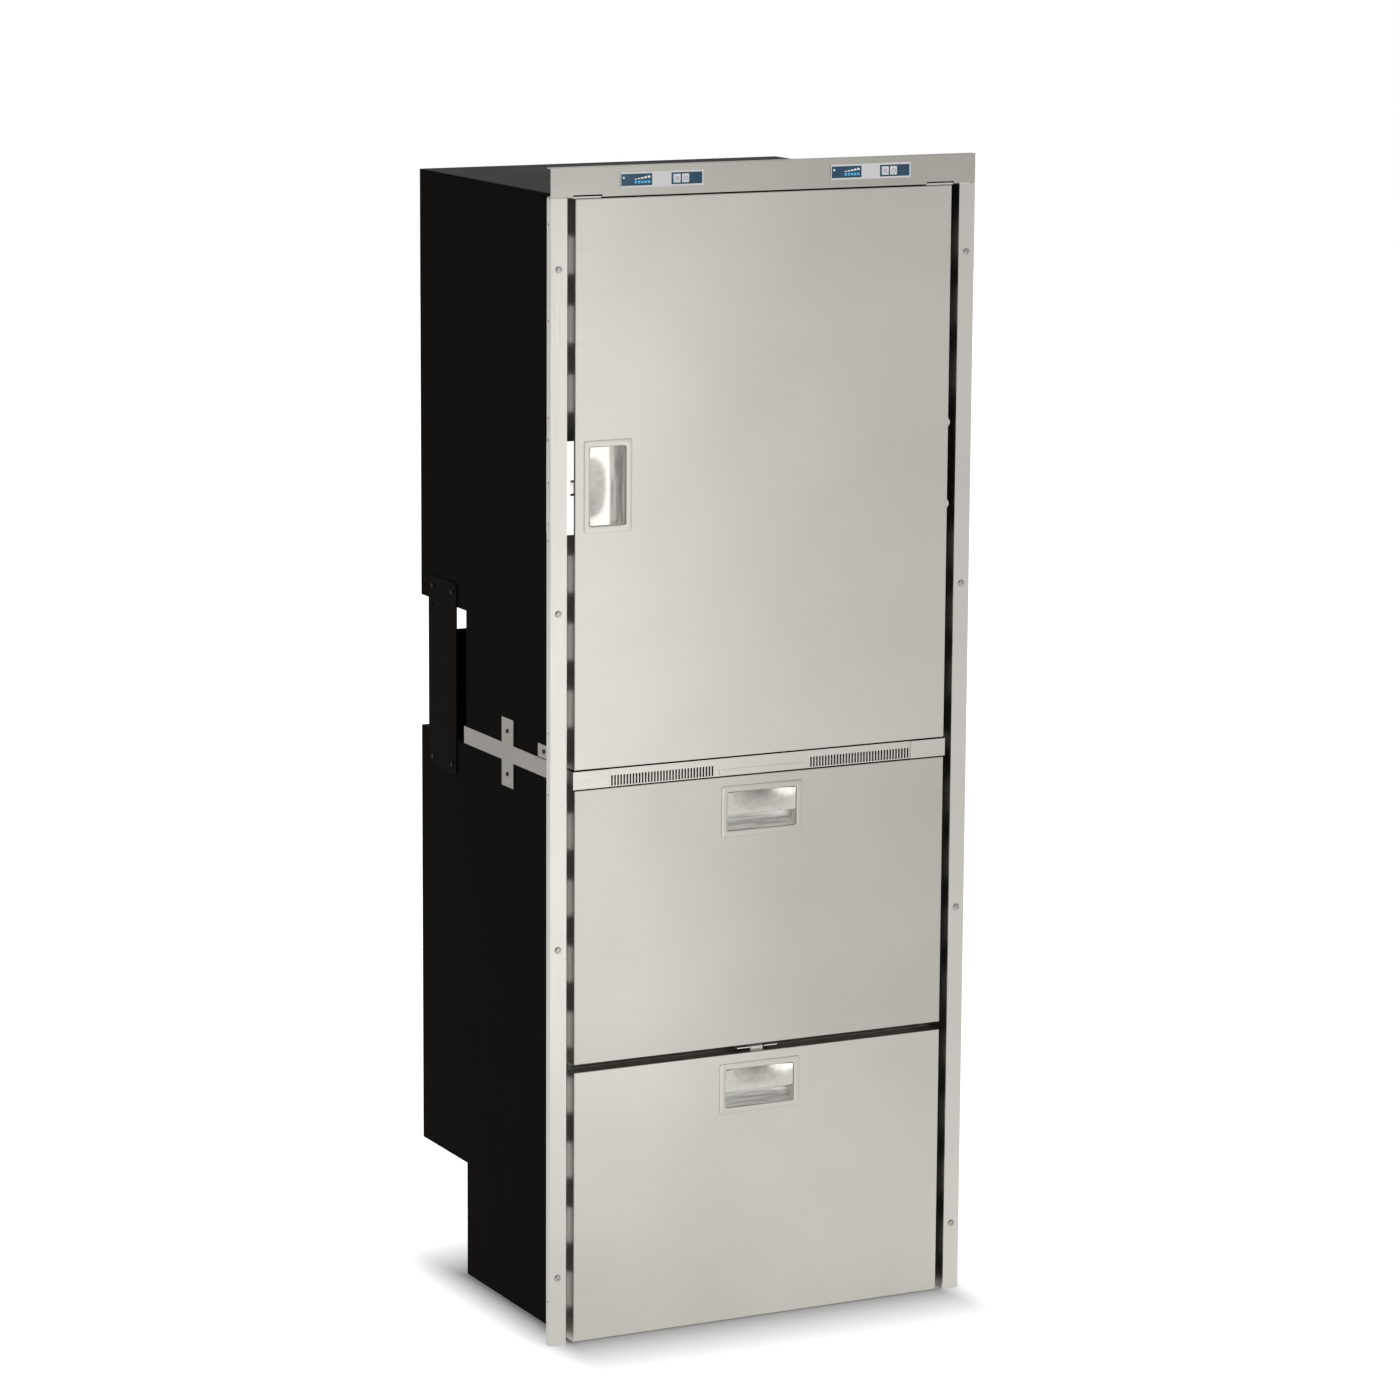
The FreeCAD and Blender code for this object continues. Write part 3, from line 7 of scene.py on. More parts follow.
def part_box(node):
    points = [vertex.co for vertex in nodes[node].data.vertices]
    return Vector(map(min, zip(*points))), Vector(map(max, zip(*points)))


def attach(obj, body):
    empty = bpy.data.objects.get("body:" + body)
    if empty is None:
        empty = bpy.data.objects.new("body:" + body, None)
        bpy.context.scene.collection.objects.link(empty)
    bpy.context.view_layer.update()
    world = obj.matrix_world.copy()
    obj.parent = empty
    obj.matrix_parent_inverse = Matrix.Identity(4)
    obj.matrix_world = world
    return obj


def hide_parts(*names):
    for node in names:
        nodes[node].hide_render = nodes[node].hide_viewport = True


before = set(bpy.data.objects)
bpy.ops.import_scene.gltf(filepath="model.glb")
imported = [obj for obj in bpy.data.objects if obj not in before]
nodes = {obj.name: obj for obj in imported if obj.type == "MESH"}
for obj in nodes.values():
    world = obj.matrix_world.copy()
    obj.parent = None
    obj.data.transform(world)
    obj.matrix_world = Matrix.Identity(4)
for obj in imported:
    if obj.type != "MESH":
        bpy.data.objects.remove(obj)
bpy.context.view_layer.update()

# ---------------------------------------------------------------- the two casings
# Folded steel boxes, powder coated satin black, the upper one standing on the lower one's stacking channels.
# Both step in at the back, low down, to leave room for machinery or pipes.


def linear(text):
    """An sRGB hex value as the linear colour that a shader takes."""
    parts = [int(text[i:i + 2], 16) / 255 for i in (1, 3, 5)]
    return [p / 12.92 if p <= 0.04045 else ((p + 0.055) / 1.055) ** 2.4 for p in parts] + [1]


def add(tree, kind, settings=(), numbered=(), **links):
    """Adds one node, with its settings and the outputs that feed its sockets, by number or by name."""
    node = tree.nodes.new("ShaderNode" + kind)
    for name, value in dict(settings).items():
        if name == "stops":
            for place, tone in value[2:]:
                node.color_ramp.elements.new(place)
            for element, (place, tone) in zip(node.color_ramp.elements, value):
                element.position, element.color = place, linear(tone)
        elif isinstance(name, int) or name in node.inputs:
            node.inputs[name].default_value = value
        else:
            setattr(node, name, value)
    for number, output in dict(numbered).items():
        tree.links.new(output, node.inputs[number])
    for name, output in links.items():
        tree.links.new(output, node.inputs[name.replace("_", " ")])
    return node


def begin_finish(name):
    """A new material's node tree, and the place of each point on its piece in metres."""
    made = bpy.data.materials.new(name)
    made.use_nodes = True
    made.node_tree.nodes.clear()
    return made.node_tree, add(made.node_tree, "TexCoord").outputs["Object"]


def end_finish(tree, settings, **links):
    """Closes a finish with its shader, its values and the outputs that feed it, and returns the material."""
    shader = add(tree, "BsdfPrincipled", settings, **links)
    add(tree, "OutputMaterial", Surface=shader.outputs[0])
    return next(m for m in bpy.data.materials if m.node_tree == tree)


def dress(finish, *names, edge=None):
    """Gives CAD nodes their finish, and an edge of the given radius where sheet is folded or plastic is moulded.

    The uprights, tubs and bins are joined into whole flat faces first, so that no shade follows a loose triangle.
    """
    for name in names:
        mesh = nodes[name].data
        mesh.materials.clear()
        mesh.materials.append(finish)
        if edge:
            weld = nodes[name].modifiers.new("Weld", "WELD")
            weld.merge_threshold = 1e-5
            if name.endswith(("_upright", "_basket", "_bins")):
                join = nodes[name].modifiers.new("Join", "DECIMATE")
                join.decimate_type, join.angle_limit = "DISSOLVE", math.radians(1)
            bend = nodes[name].modifiers.new("Bend", "BEVEL")
            bend.width, bend.segments, bend.limit_method = edge, 2, "ANGLE"
            bend.angle_limit = math.radians(50)
            bend.harden_normals = True


# Powder coat on steel: near black with a warm cast, satin, with the fine orange peel that such paint dries to,
# here 3 mm apart, so that it shows. Its gloss is kept very low, as the real panel hardly mirrors its surroundings.
tree, place = begin_finish("satin_black_powder_coat")
peel = add(tree, "TexNoise", {"Scale": 1 / 0.003, "Detail": 2}, Vector=place)
wear = add(tree, "TexNoise", {"Scale": 1 / 0.12, "Detail": 4}, Vector=place)
tone = add(tree, "ValToRGB", {"stops": [(0.2, "#0f0d0a"), (0.8, "#13110d")]}, Fac=wear.outputs["Fac"])
relief = add(tree, "Bump", {"Strength": 0.08, "Distance": 0.0004}, Height=peel.outputs["Fac"])
matt = add(tree, "MapRange", {"To Min": 0.3, "To Max": 0.4}, Value=wear.outputs["Fac"])
powder_coat = end_finish(tree, {"IOR": 1.5, "Specular IOR Level": 0.002},
                         Base_Color=tone.outputs["Color"], Roughness=matt.outputs["Result"],
                         Normal=relief.outputs["Normal"])
dress(powder_coat, "upper_casing", "lower_casing", edge=0.0009)

# ---------------------------------------------------------------- foam and liners
# Rigid foam fills the walls between each casing and its liner. The liners are vacuum formed white
# polystyrene, with ledges for the shelves in the upper one.
tree, place = begin_finish("rigid_polyurethane_foam")
cells = add(tree, "TexVoronoi", {"Scale": 1 / 0.002}, Vector=place)
tone = add(tree, "ValToRGB", {"stops": [(0.0, "#c9b684"), (0.6, "#e3d4a8")]}, Fac=cells.outputs["Distance"])
relief = add(tree, "Bump", {"Strength": 0.4, "Distance": 0.0006}, Height=cells.outputs["Distance"])
foam = end_finish(tree, {"Roughness": 0.9, "Specular IOR Level": 0.2},
                  Base_Color=tone.outputs["Color"], Normal=relief.outputs["Normal"])
dress(foam, "upper_insulation", "lower_insulation")

# Vacuum formed polystyrene: clean white, softly glossy, with a slight waviness about 40 mm long from forming.
tree, place = begin_finish("vacuum_formed_polystyrene")
swell = add(tree, "TexNoise", {"Scale": 1 / 0.04, "Detail": 1}, Vector=place)
grain = add(tree, "TexNoise", {"Scale": 1 / 0.002, "Detail": 2}, Vector=place)
tone = add(tree, "ValToRGB", {"stops": [(0.2, "#e9e9e4"), (0.8, "#f1f1ed")]}, Fac=swell.outputs["Fac"])
gloss = add(tree, "MapRange", {"To Min": 0.28, "To Max": 0.4}, Value=grain.outputs["Fac"])
relief = add(tree, "Bump", {"Strength": 0.15, "Distance": 0.0008}, Height=swell.outputs["Fac"])
liner_plastic = end_finish(tree, {"IOR": 1.55}, Base_Color=tone.outputs["Color"],
                           Roughness=gloss.outputs["Result"], Normal=relief.outputs["Normal"])
dress(liner_plastic, "upper_liner", "drawer_1_liner", "drawer_2_liner", edge=0.0012)

# ---------------------------------------------------------------- front flange
# Brushed stainless sheet, 1.5 mm: a top rail between the control plates and the roof, and two uprights whose
# outer edges are folded back to meet the furniture. Windows are punched in the uprights' inner folds.


def brushed(name, along, light, dark, low, high, fold=None):
    """Stainless sheet brushed along one axis: grain 1.2 mm wide, as fine as the render shows, and 80 mm long.

    A fold, given by its own dark tone and where it starts in x and y, takes that tone in place of the grain's
    colour: painted shade.
    """
    tree, place = begin_finish(name)
    stretch = [1 / 0.0012] * 3
    stretch[along] = 1 / 0.08
    grain_place = add(tree, "Mapping", {"Scale": stretch}, Vector=place)
    grain = add(tree, "TexNoise", {"Scale": 1.0, "Detail": 3}, Vector=grain_place.outputs["Vector"])
    cloud = add(tree, "TexNoise", {"Scale": 1 / 0.25, "Detail": 2}, Vector=place)
    both = add(tree, "Math", {"operation": "MULTIPLY_ADD", 1: 0.35},
               {0: grain.outputs["Fac"], 2: cloud.outputs["Fac"]})
    tone = add(tree, "ValToRGB", {"stops": [(0.35, dark), (1.0, light)]}, Fac=both.outputs["Value"])
    satin = add(tree, "MapRange", {"From Min": 0.3, "From Max": 0.7, "To Min": low, "To Max": high},
                Value=grain.outputs["Fac"])
    relief = add(tree, "Bump", {"Strength": 0.05, "Distance": 0.0001}, Height=grain.outputs["Fac"])
    colour = tone.outputs["Color"]
    if fold:
        fold_shade, left_of, behind = fold
        parts = add(tree, "SeparateXYZ", Vector=place)
        inner = add(tree, "Math", {"operation": "LESS_THAN", 1: left_of}, {0: parts.outputs["X"]})
        deeper = add(tree, "Math", {"operation": "GREATER_THAN", 1: behind}, {0: parts.outputs["Y"]})
        on_fold = add(tree, "Math", {"operation": "MULTIPLY"}, {0: inner.outputs[0], 1: deeper.outputs[0]})
        colour = add(tree, "Mix", {"data_type": "RGBA", 7: linear(fold_shade)},
                     {0: on_fold.outputs[0], 6: colour}).outputs[2]
    return end_finish(tree, {"Metallic": 1.0}, Base_Color=colour,
                      Roughness=satin.outputs["Result"], Normal=relief.outputs["Normal"])


# Brushed stainless: light warm grey, a satin mirror that spreads one soft highlight, streaked by its grain. The
# arms and channels between the cabinets are plain mill sheet, duller and darker.
rail_steel = brushed("brushed_stainless_rail", 0, "#aeaba5", "#a3a09a", 0.34, 0.42)
upright_steel = brushed("brushed_stainless_upright", 2, "#c1beb9", "#b6b3ae", 0.34, 0.42)
sheet_steel = brushed("plain_steel_sheet", 0, "#999690", "#8a8781", 0.42, 0.52)
dress(rail_steel, "top_rail", edge=0.0006)
dress(upright_steel, "left_upright", edge=0.0006)
# the right one's inner fold, seen in the gap beside the door, is painted dark grey: painted shade where that gap
# lies in shadow
painted_shade_fold_steel = brushed("brushed_stainless_dull_fold", 2, "#c1beb9", "#b6b3ae", 0.34, 0.42,
                          fold=("#6b6863", 0.3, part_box("right_upright")[0].y + 0.003))
dress(painted_shade_fold_steel, "right_upright", edge=0.0006)
dress(powder_coat, "rail_carrier")

# ---------------------------------------------------------------- flange screws
# Eight pan head screws in stainless steel, with a cross recess, hold the flange to the furniture.
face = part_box("top_rail")[0].y
screw_heights = (0.096, 0.556, 1.016, 1.476)
screw_places = [(side * 0.3083, height) for side in (-1, 1) for height in screw_heights]


def piece(name, shape, finishes, body, smooth=30):
    """Makes an object of a finished shape, with its finishes, that rides on its body."""
    mesh = bpy.data.meshes.new(name)
    shape.to_mesh(mesh)
    shape.free()
    made = bpy.data.objects.new(name, mesh)
    bpy.context.scene.collection.objects.link(made)
    for finish in finishes:
        mesh.materials.append(finish)
    if smooth:
        mesh.shade_smooth()
        mesh.set_sharp_from_angle(angle=math.radians(smooth))
    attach(made, body)
    return made


def pan_head(shape, place, turn, head=0.0047, high=0.0022, shank=0.0):
    """A screw head with its cross recess, and its shank if it has one, facing +Z before it is placed."""
    arm, tip, deep = head * 0.12, head * 0.44, high * 0.5
    earlier = set(shape.verts)
    outline = []
    for quarter in range(4):
        spin = Matrix.Rotation(quarter * math.pi / 2, 4, "Z")
        for x, y in ((tip, -arm), (tip, arm), (arm, arm)):
            outline.append(spin @ Vector((x, y, high)))
    cross = [shape.verts.new(spot) for spot in outline]
    bottom = shape.faces.new(cross)
    rim = list(bottom.edges)
    sunk = bmesh.ops.extrude_face_region(shape, geom=[bottom])
    moved = [v for v in sunk["geom"] if isinstance(v, bmesh.types.BMVert)]
    bmesh.ops.translate(shape, verts=moved, vec=(0, 0, -deep))
    bmesh.ops.delete(shape, geom=[bottom], context="FACES_ONLY")
    crown_place = Matrix.Translation((0, 0, high)) @ Matrix.Rotation(math.radians(-13), 4, "Z")
    crown = bmesh.ops.create_circle(shape, segments=12, radius=head * 0.66, matrix=crown_place)
    ring = list({edge for v in crown["verts"] for edge in v.link_edges})
    bmesh.ops.bridge_loops(shape, edges=rim + ring)
    # shares of the head's radius with their heights: its rounded side, then the shank down to its blunt point
    profile = [(0.8, high * 0.9), (0.92, high * 0.7), (0.98, high * 0.42), (1, high * 0.15), (1, 0)]
    if shank:
        profile += [(0.5, 0), (0.5, -shank), (0.1, -shank - 0.001)]
    skirt = ring
    for radius, height in profile:
        grown = bmesh.ops.extrude_edge_only(shape, edges=skirt)
        skirt = [e for e in grown["geom"] if isinstance(e, bmesh.types.BMEdge)]
        for v in [v for v in grown["geom"] if isinstance(v, bmesh.types.BMVert)]:
            flat = Vector((v.co.x, v.co.y, 0)).normalized() * head * radius
            v.co = Vector((flat.x, flat.y, height))
    bmesh.ops.holes_fill(shape, edges=skirt)
    new = [v for v in shape.verts if v not in earlier]
    bmesh.ops.transform(shape, matrix=Matrix.Translation(place) @ turn, verts=new)


# Bright machined stainless, its tone darkened as painted shade on the heads, which take small sharp glints, with
# faint lathe marks 0.3 mm apart.
tree, place = begin_finish("machined_stainless")
marks = add(tree, "TexNoise", {"Scale": 1 / 0.0006, "Detail": 2}, Vector=place)
tone = add(tree, "ValToRGB", {"stops": [(0.3, "#918f8c"), (0.7, "#adaba8")]}, Fac=marks.outputs["Fac"])
gloss = add(tree, "MapRange", {"To Min": 0.18, "To Max": 0.3}, Value=marks.outputs["Fac"])
screw_steel_painted_shade = end_finish(tree, {"Metallic": 1.0}, Base_Color=tone.outputs["Color"],
                            Roughness=gloss.outputs["Result"])

facing_front = Matrix.Rotation(math.pi / 2, 4, "X")
heads = bmesh.new()
for count, (x, z) in enumerate(screw_places):
    pan_head(heads, (x, face, z), facing_front @ Matrix.Rotation(count * 0.7, 4, "Z"), shank=0.0235)
bmesh.ops.recalc_face_normals(heads, faces=heads.faces)
screws = piece("flange_pan_heads", heads, [screw_steel_painted_shade], "cabinet")
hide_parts("flange_screws")

# ---------------------------------------------------------------- control plates
# Two pale satin plates in the rail, of anodised aluminium, each with two navy windows in it. The left window shows
# a small lamp, five level lamps and a rising bar over each. The right one holds two pale touch keys.
key_low, key_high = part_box("left_key_1")
window_front = face - 0.0009  # the windows stand a little proud of the flange
plate_apart, plate_half, plate_border = 0.1575, 0.0614, 0.0012

# Anodised aluminium plate: pale, even and silky, with a fine blast grain of about 0.8 mm.
tree, place = begin_finish("satin_anodised_plate")
blast = add(tree, "TexNoise", {"Scale": 1 / 0.0008, "Detail": 2}, Vector=place)
tone = add(tree, "ValToRGB", {"stops": [(0.3, "#dcdcdd"), (0.7, "#e6e6e6")]}, Fac=blast.outputs["Fac"])
relief = add(tree, "Bump", {"Strength": 0.06, "Distance": 0.0001}, Height=blast.outputs["Fac"])
plate_finish = end_finish(tree, {"Metallic": 0.0, "Roughness": 0.42}, Base_Color=tone.outputs["Color"],
                          Normal=relief.outputs["Normal"])
# Printed polycarbonate window: deep navy under a clear smooth face.
tree, place = begin_finish("navy_polycarbonate")
smoke = add(tree, "TexNoise", {"Scale": 1 / 0.02, "Detail": 1}, Vector=place)
tone = add(tree, "ValToRGB", {"stops": [(0.3, "#264860"), (0.7, "#2f556e")]}, Fac=smoke.outputs["Fac"])
navy_window = end_finish(tree, {"Roughness": 0.16, "IOR": 1.58, "Specular IOR Level": 0.2},
                         Base_Color=tone.outputs["Color"])
# Membrane key: soft white vinyl, matt, slightly cloudy.
tree, place = begin_finish("matt_vinyl_key")
cloud = add(tree, "TexNoise", {"Scale": 1 / 0.003, "Detail": 2}, Vector=place)
tone = add(tree, "ValToRGB", {"stops": [(0.3, "#dcdee2"), (0.7, "#e9eaec")]}, Fac=cloud.outputs["Fac"])
key_vinyl = end_finish(tree, {"Roughness": 0.55}, Base_Color=tone.outputs["Color"])
dress(plate_finish, "control_panels", edge=0.0004)
dress(navy_window, "control_modules")


def lamp_finish(name, dark, light, glow):
    """A level lamp or a print under a diffusing film: matt, with a faint cloud 1 mm across and a glow of its own."""
    tree, place = begin_finish(name)
    film = add(tree, "TexNoise", {"Scale": 1 / 0.001, "Detail": 1}, Vector=place)
    tone = add(tree, "ValToRGB", {"stops": [(0.2, dark), (0.8, light)]}, Fac=film.outputs["Fac"])
    return end_finish(tree, {"Roughness": 0.4, "Emission Strength": glow}, Base_Color=tone.outputs["Color"],
                      Emission_Color=tone.outputs["Color"])


level_lamp = lamp_finish("cyan_level_lamp", "#3f93bd", "#5fb4d8", 0.35)
white_print = lamp_finish("white_screen_print", "#e4e8ea", "#f4f6f7", 0.15)
grey_print = lamp_finish("grey_screen_print", "#8d8fa0", "#a3a5b3", 0.0)


def block(shape, low, high, slot=0, soft=0.0, segments=2):
    """A block between two corners, with its edges softened."""
    low, high = Vector(low), Vector(high)
    size = high - low
    place = Matrix.Translation((low + high) / 2) @ Matrix.Diagonal((*size, 1))
    made = bmesh.ops.create_cube(shape, size=1, matrix=place)
    if soft:
        edges = list({edge for v in made["verts"] for edge in v.link_edges})
        eased = bmesh.ops.bevel(shape, geom=edges, offset=soft, segments=segments, affect="EDGES", profile=0.5,
                                material=-1)
        faces = set(eased["faces"]) | {f for v in eased["verts"] for f in v.link_faces}
    else:
        faces = {f for v in made["verts"] for f in v.link_faces}
    for f in faces:
        f.material_index = slot
    return faces


# one small white lamp, then five level lamps with a bar over each that rises to the right
lamps = bmesh.new()
for side in (-1, 1):
    left = side * plate_apart - plate_half + plate_border
    middle = (key_low.z + key_high.z) / 2
    front = window_front - 0.00012  # the print's thickness
    block(lamps, (left + 0.0022, front, middle + 0.0018), (left + 0.0048, window_front, middle + 0.0044), 1, 0.0006)
    for count in range(5):
        x = left + 0.0196 + count * 0.0048
        block(lamps, (x, front, middle - 0.0048), (x + 0.0034, window_front, middle - 0.0014), 0, 0.0004)
        low = middle + 0.0002 + count * 0.0005
        block(lamps, (x, front, low), (x + 0.0036, window_front, low + 0.0011 + count * 0.0004), 1, 0.0003)
piece("level_lamps", lamps, [level_lamp, white_print], "cabinet")

for name in ("left_key_1", "left_key_2", "right_key_1", "right_key_2"):
    low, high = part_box(name)
    shape = bmesh.new()
    block(shape, low, high, 0, 0.0005, 3)
    # a plain ring or a plain dotted square marks the key
    mid = (low + high) / 2
    if name.endswith("1"):
        for row in (-1, 0, 1):
            for column in (-1, 0, 1):
                spot = Vector((mid.x + column * 0.0019, 0, mid.z + row * 0.0019))
                block(shape, (spot.x - 0.0006, low.y - 0.00008, spot.z - 0.0006),
                      (spot.x + 0.0006, low.y, spot.z + 0.0006), 1)
    else:
        seat = Matrix.Translation((mid.x, low.y - 0.00008, mid.z)) @ facing_front
        outer = bmesh.ops.create_circle(shape, segments=32, radius=0.0031, matrix=seat)
        inner = bmesh.ops.create_circle(shape, segments=32, radius=0.0022, matrix=seat)
        loops = list({e for v in outer["verts"] + inner["verts"] for e in v.link_edges})
        for f in bmesh.ops.bridge_loops(shape, edges=loops)["faces"]:
            f.material_index = 1
    key = piece(name + "_touch", shape, [key_vinyl, grey_print], name + "_body")
    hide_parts(name)

# ---------------------------------------------------------------- vent strip and grille
# A folded stainless strip between the door and the drawers. A punched grille sits in it, with a blank raised field.
strip_steel = brushed("brushed_stainless_strip", 0, "#bbb8b2", "#b0ada7", 0.32, 0.4)
dress(strip_steel, "vent_strip", "vent_grille", edge=0.0003)

# ---------------------------------------------------------------- hinges
# Flat zinc plated steel plates under and over the door, with a pin pressed into each. A blank plate fills the left.

# Zinc plating: cool grey, half bright, with faint crystals about 6 mm across.
tree, place = begin_finish("zinc_plated_steel")
spangle = add(tree, "TexVoronoi", {"Scale": 1 / 0.006}, Vector=place)
tone = add(tree, "ValToRGB", {"stops": [(0.1, "#b0b0ad"), (0.8, "#c5c5c2")]}, Fac=spangle.outputs["Distance"])
gloss = add(tree, "MapRange", {"To Min": 0.28, "To Max": 0.42}, Value=spangle.outputs["Distance"])
zinc = end_finish(tree, {"Metallic": 1.0}, Base_Color=tone.outputs["Color"], Roughness=gloss.outputs["Result"])
dress(zinc, "top_hinge", "bottom_hinge", edge=0.0003)
dress(upright_steel, "hinge_blank", edge=0.0003)

# ---------------------------------------------------------------- door and drawer fronts
# Each front is a folded tray of brushed stainless over a white inner panel filled with foam,
# with a magnetic seal behind. Two white nylon plugs close spare holes in the door's side.
front_steel = brushed("brushed_stainless_front", 0, "#bab7b1", "#afaca6", 0.34, 0.4)
dress(front_steel, "door_skin", "drawer_2_skin", edge=0.0003)
# the upper drawer's front takes a slightly darker copy of the same steel: painted shade
painted_shade_front_steel = brushed("brushed_stainless_middle_front", 0, "#b1aea8", "#a6a39d", 0.34, 0.4)
dress(painted_shade_front_steel, "drawer_1_skin", edge=0.0003)
dress(liner_plastic, "door_core", "drawer_1_core", "drawer_2_core", edge=0.001)

# Magnetic seal: soft grey vinyl extrusion, matt, with fine lengthwise ribs 1 mm apart.
tree, place = begin_finish("soft_vinyl_seal")
bloom = add(tree, "TexNoise", {"Scale": 1 / 0.004, "Detail": 3}, Vector=place)
tone = add(tree, "ValToRGB", {"stops": [(0.3, "#767470"), (0.7, "#86847f")]}, Fac=bloom.outputs["Fac"])
relief = add(tree, "Bump", {"Strength": 0.2, "Distance": 0.0003}, Height=bloom.outputs["Fac"])
seal_vinyl = end_finish(tree, {"Roughness": 0.6, "Specular IOR Level": 0.3}, Base_Color=tone.outputs["Color"],
                        Normal=relief.outputs["Normal"])
dress(seal_vinyl, "door_gasket", "drawer_1_gasket", "drawer_2_gasket")

# Moulded nylon: off-white, waxy, a little translucent.
tree, place = begin_finish("moulded_nylon")
cloud = add(tree, "TexNoise", {"Scale": 1 / 0.005, "Detail": 2}, Vector=place)
tone = add(tree, "ValToRGB", {"stops": [(0.3, "#e6e5e2"), (0.7, "#f0efec")]}, Fac=cloud.outputs["Fac"])
nylon = end_finish(tree, {"Roughness": 0.35, "Subsurface Weight": 0.05, "Subsurface Radius": (0.002, 0.002, 0.0018)},
                   Base_Color=tone.outputs["Color"])
dress(nylon, "door_plugs")

# Black strips, matt with pores under 1 mm, along the upper edges that other sheet closes on: the door's, the vent
# strip's and the upper drawer's. They are painted shade: dark sheet that fills those seams with a dark line where
# they lie in shadow.
tree, place = begin_finish("black_foam_tape")
pores = add(tree, "TexVoronoi", {"Scale": 1 / 0.0008}, Vector=place)
tone = add(tree, "ValToRGB", {"stops": [(0.1, "#020202"), (0.7, "#0a0a09")]}, Fac=pores.outputs["Distance"])
seam_shade_strip = end_finish(tree, {"Roughness": 0.95, "Specular IOR Level": 0.02}, Base_Color=tone.outputs["Color"])
shade_strip_front, shade_strip_rear = face + 0.0012, face + 0.011
for name, body, left, right_end, thick in (("door_skin", "door", -0.2395, 0.224, 0.0008),
                                           ("vent_strip", "cabinet", -0.279, 0.279, 0.001),
                                           ("drawer_1_skin", "drawer_1", -0.28, 0.28, 0.0007)):
    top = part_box(name)[1].z
    shade_strip = bmesh.new()
    block(shade_strip, (left, shade_strip_front, top), (right_end, shade_strip_rear, top + thick), 0, 0.0002)
    piece(name + "_painted_shade_strip", shade_strip, [seam_shade_strip], body)

# ---------------------------------------------------------------- recessed latches
# Three alike: a thin stainless surround with a rolled inner lip, a pocket that ends in a round finger bowl,
# and a polished dished paddle. Pulling the paddle's lip draws a flat bolt out of its keeper.

# Polished stainless: nearly a mirror, so the dish shows long soft streaks; the bowl's streaks are painted
# reflections in the pocket's finish. Polishing leaves a haze in bands about 8 mm wide.
tree, place = begin_finish("polished_stainless")
haze = add(tree, "TexNoise", {"Scale": 1 / 0.008, "Detail": 2}, Vector=place)
tone = add(tree, "ValToRGB", {"stops": [(0.3, "#b1aea8"), (0.7, "#bdbab4")]}, Fac=haze.outputs["Fac"])
gloss = add(tree, "MapRange", {"To Min": 0.14, "To Max": 0.22}, Value=haze.outputs["Fac"])
polished_steel = end_finish(tree, {"Metallic": 1.0}, Base_Color=tone.outputs["Color"],
                            Roughness=gloss.outputs["Result"])


def drawn(name, along):
    """Drawn stainless of the pocket, left half matt by the press: its pale tone is painted light where little light
    reaches, and its streaks 4 mm wide along it are painted reflections of the bowl.
    """
    tree, place = begin_finish(name)
    stretch = [1 / 0.004] * 3
    stretch[along] = 1 / 0.05
    line_place = add(tree, "Mapping", {"Scale": stretch}, Vector=place)
    painted_streaks = add(tree, "TexNoise", {"Scale": 1.0, "Detail": 2}, Vector=line_place.outputs["Vector"])
    tone = add(tree, "ValToRGB", {"stops": [(0.35, "#cbc8c2"), (0.6, "#fdfbf6")]}, Fac=painted_streaks.outputs["Fac"])
    gloss = add(tree, "MapRange", {"To Min": 0.16, "To Max": 0.3}, Value=painted_streaks.outputs["Fac"])
    return end_finish(tree, {"Metallic": 0.2}, Base_Color=tone.outputs["Color"], Roughness=gloss.outputs["Result"])


upright_pocket, level_pocket = drawn("drawn_stainless_door_pocket", 2), drawn("drawn_stainless_drawer_pocket", 0)

# one latch in its own frame, x along it, z across it and y into the front, from the middle of its hinged edge
frame_half, frame_foot, frame_proud = 0.062, -0.071, 0.0008
mouth_half, mouth_top, mouth_foot = 0.0532, -0.0088, -0.0622
pocket_start, pocket_deep, pocket_wall = 0.0016, 0.015, 0.0012
bowl_back, bowl_height, bowl_round = 0.004, -0.0452, 0.017
bowl_from, bowl_to, bowl_steps = 49.7, -90, 12
slot_half, slot_front, slot_rear = 0.0099, 0.0094, 0.0132


def rounded_plate(shape, half, low, high, radius, y):
    """A flat plate with rounded corners, in the latch's own frame."""
    place = (Matrix.Translation((0, y, (low + high) / 2)) @ facing_front
             @ Matrix.Diagonal((2 * half, high - low, 1, 1)))
    made = bmesh.ops.create_grid(shape, x_segments=1, y_segments=1, size=0.5, matrix=place)
    corners = bmesh.ops.bevel(shape, geom=made["verts"], offset=radius, segments=5, affect="VERTICES", profile=0.5,
                              material=-1)
    return next(f for v in corners["verts"] for f in v.link_faces)


def by_mouth(v):
    """Whether a point of the frame is on the lip of its mouth."""
    near = 0.0013
    return abs(v.co.x) < mouth_half + near and mouth_foot - near < v.co.z < mouth_top + near


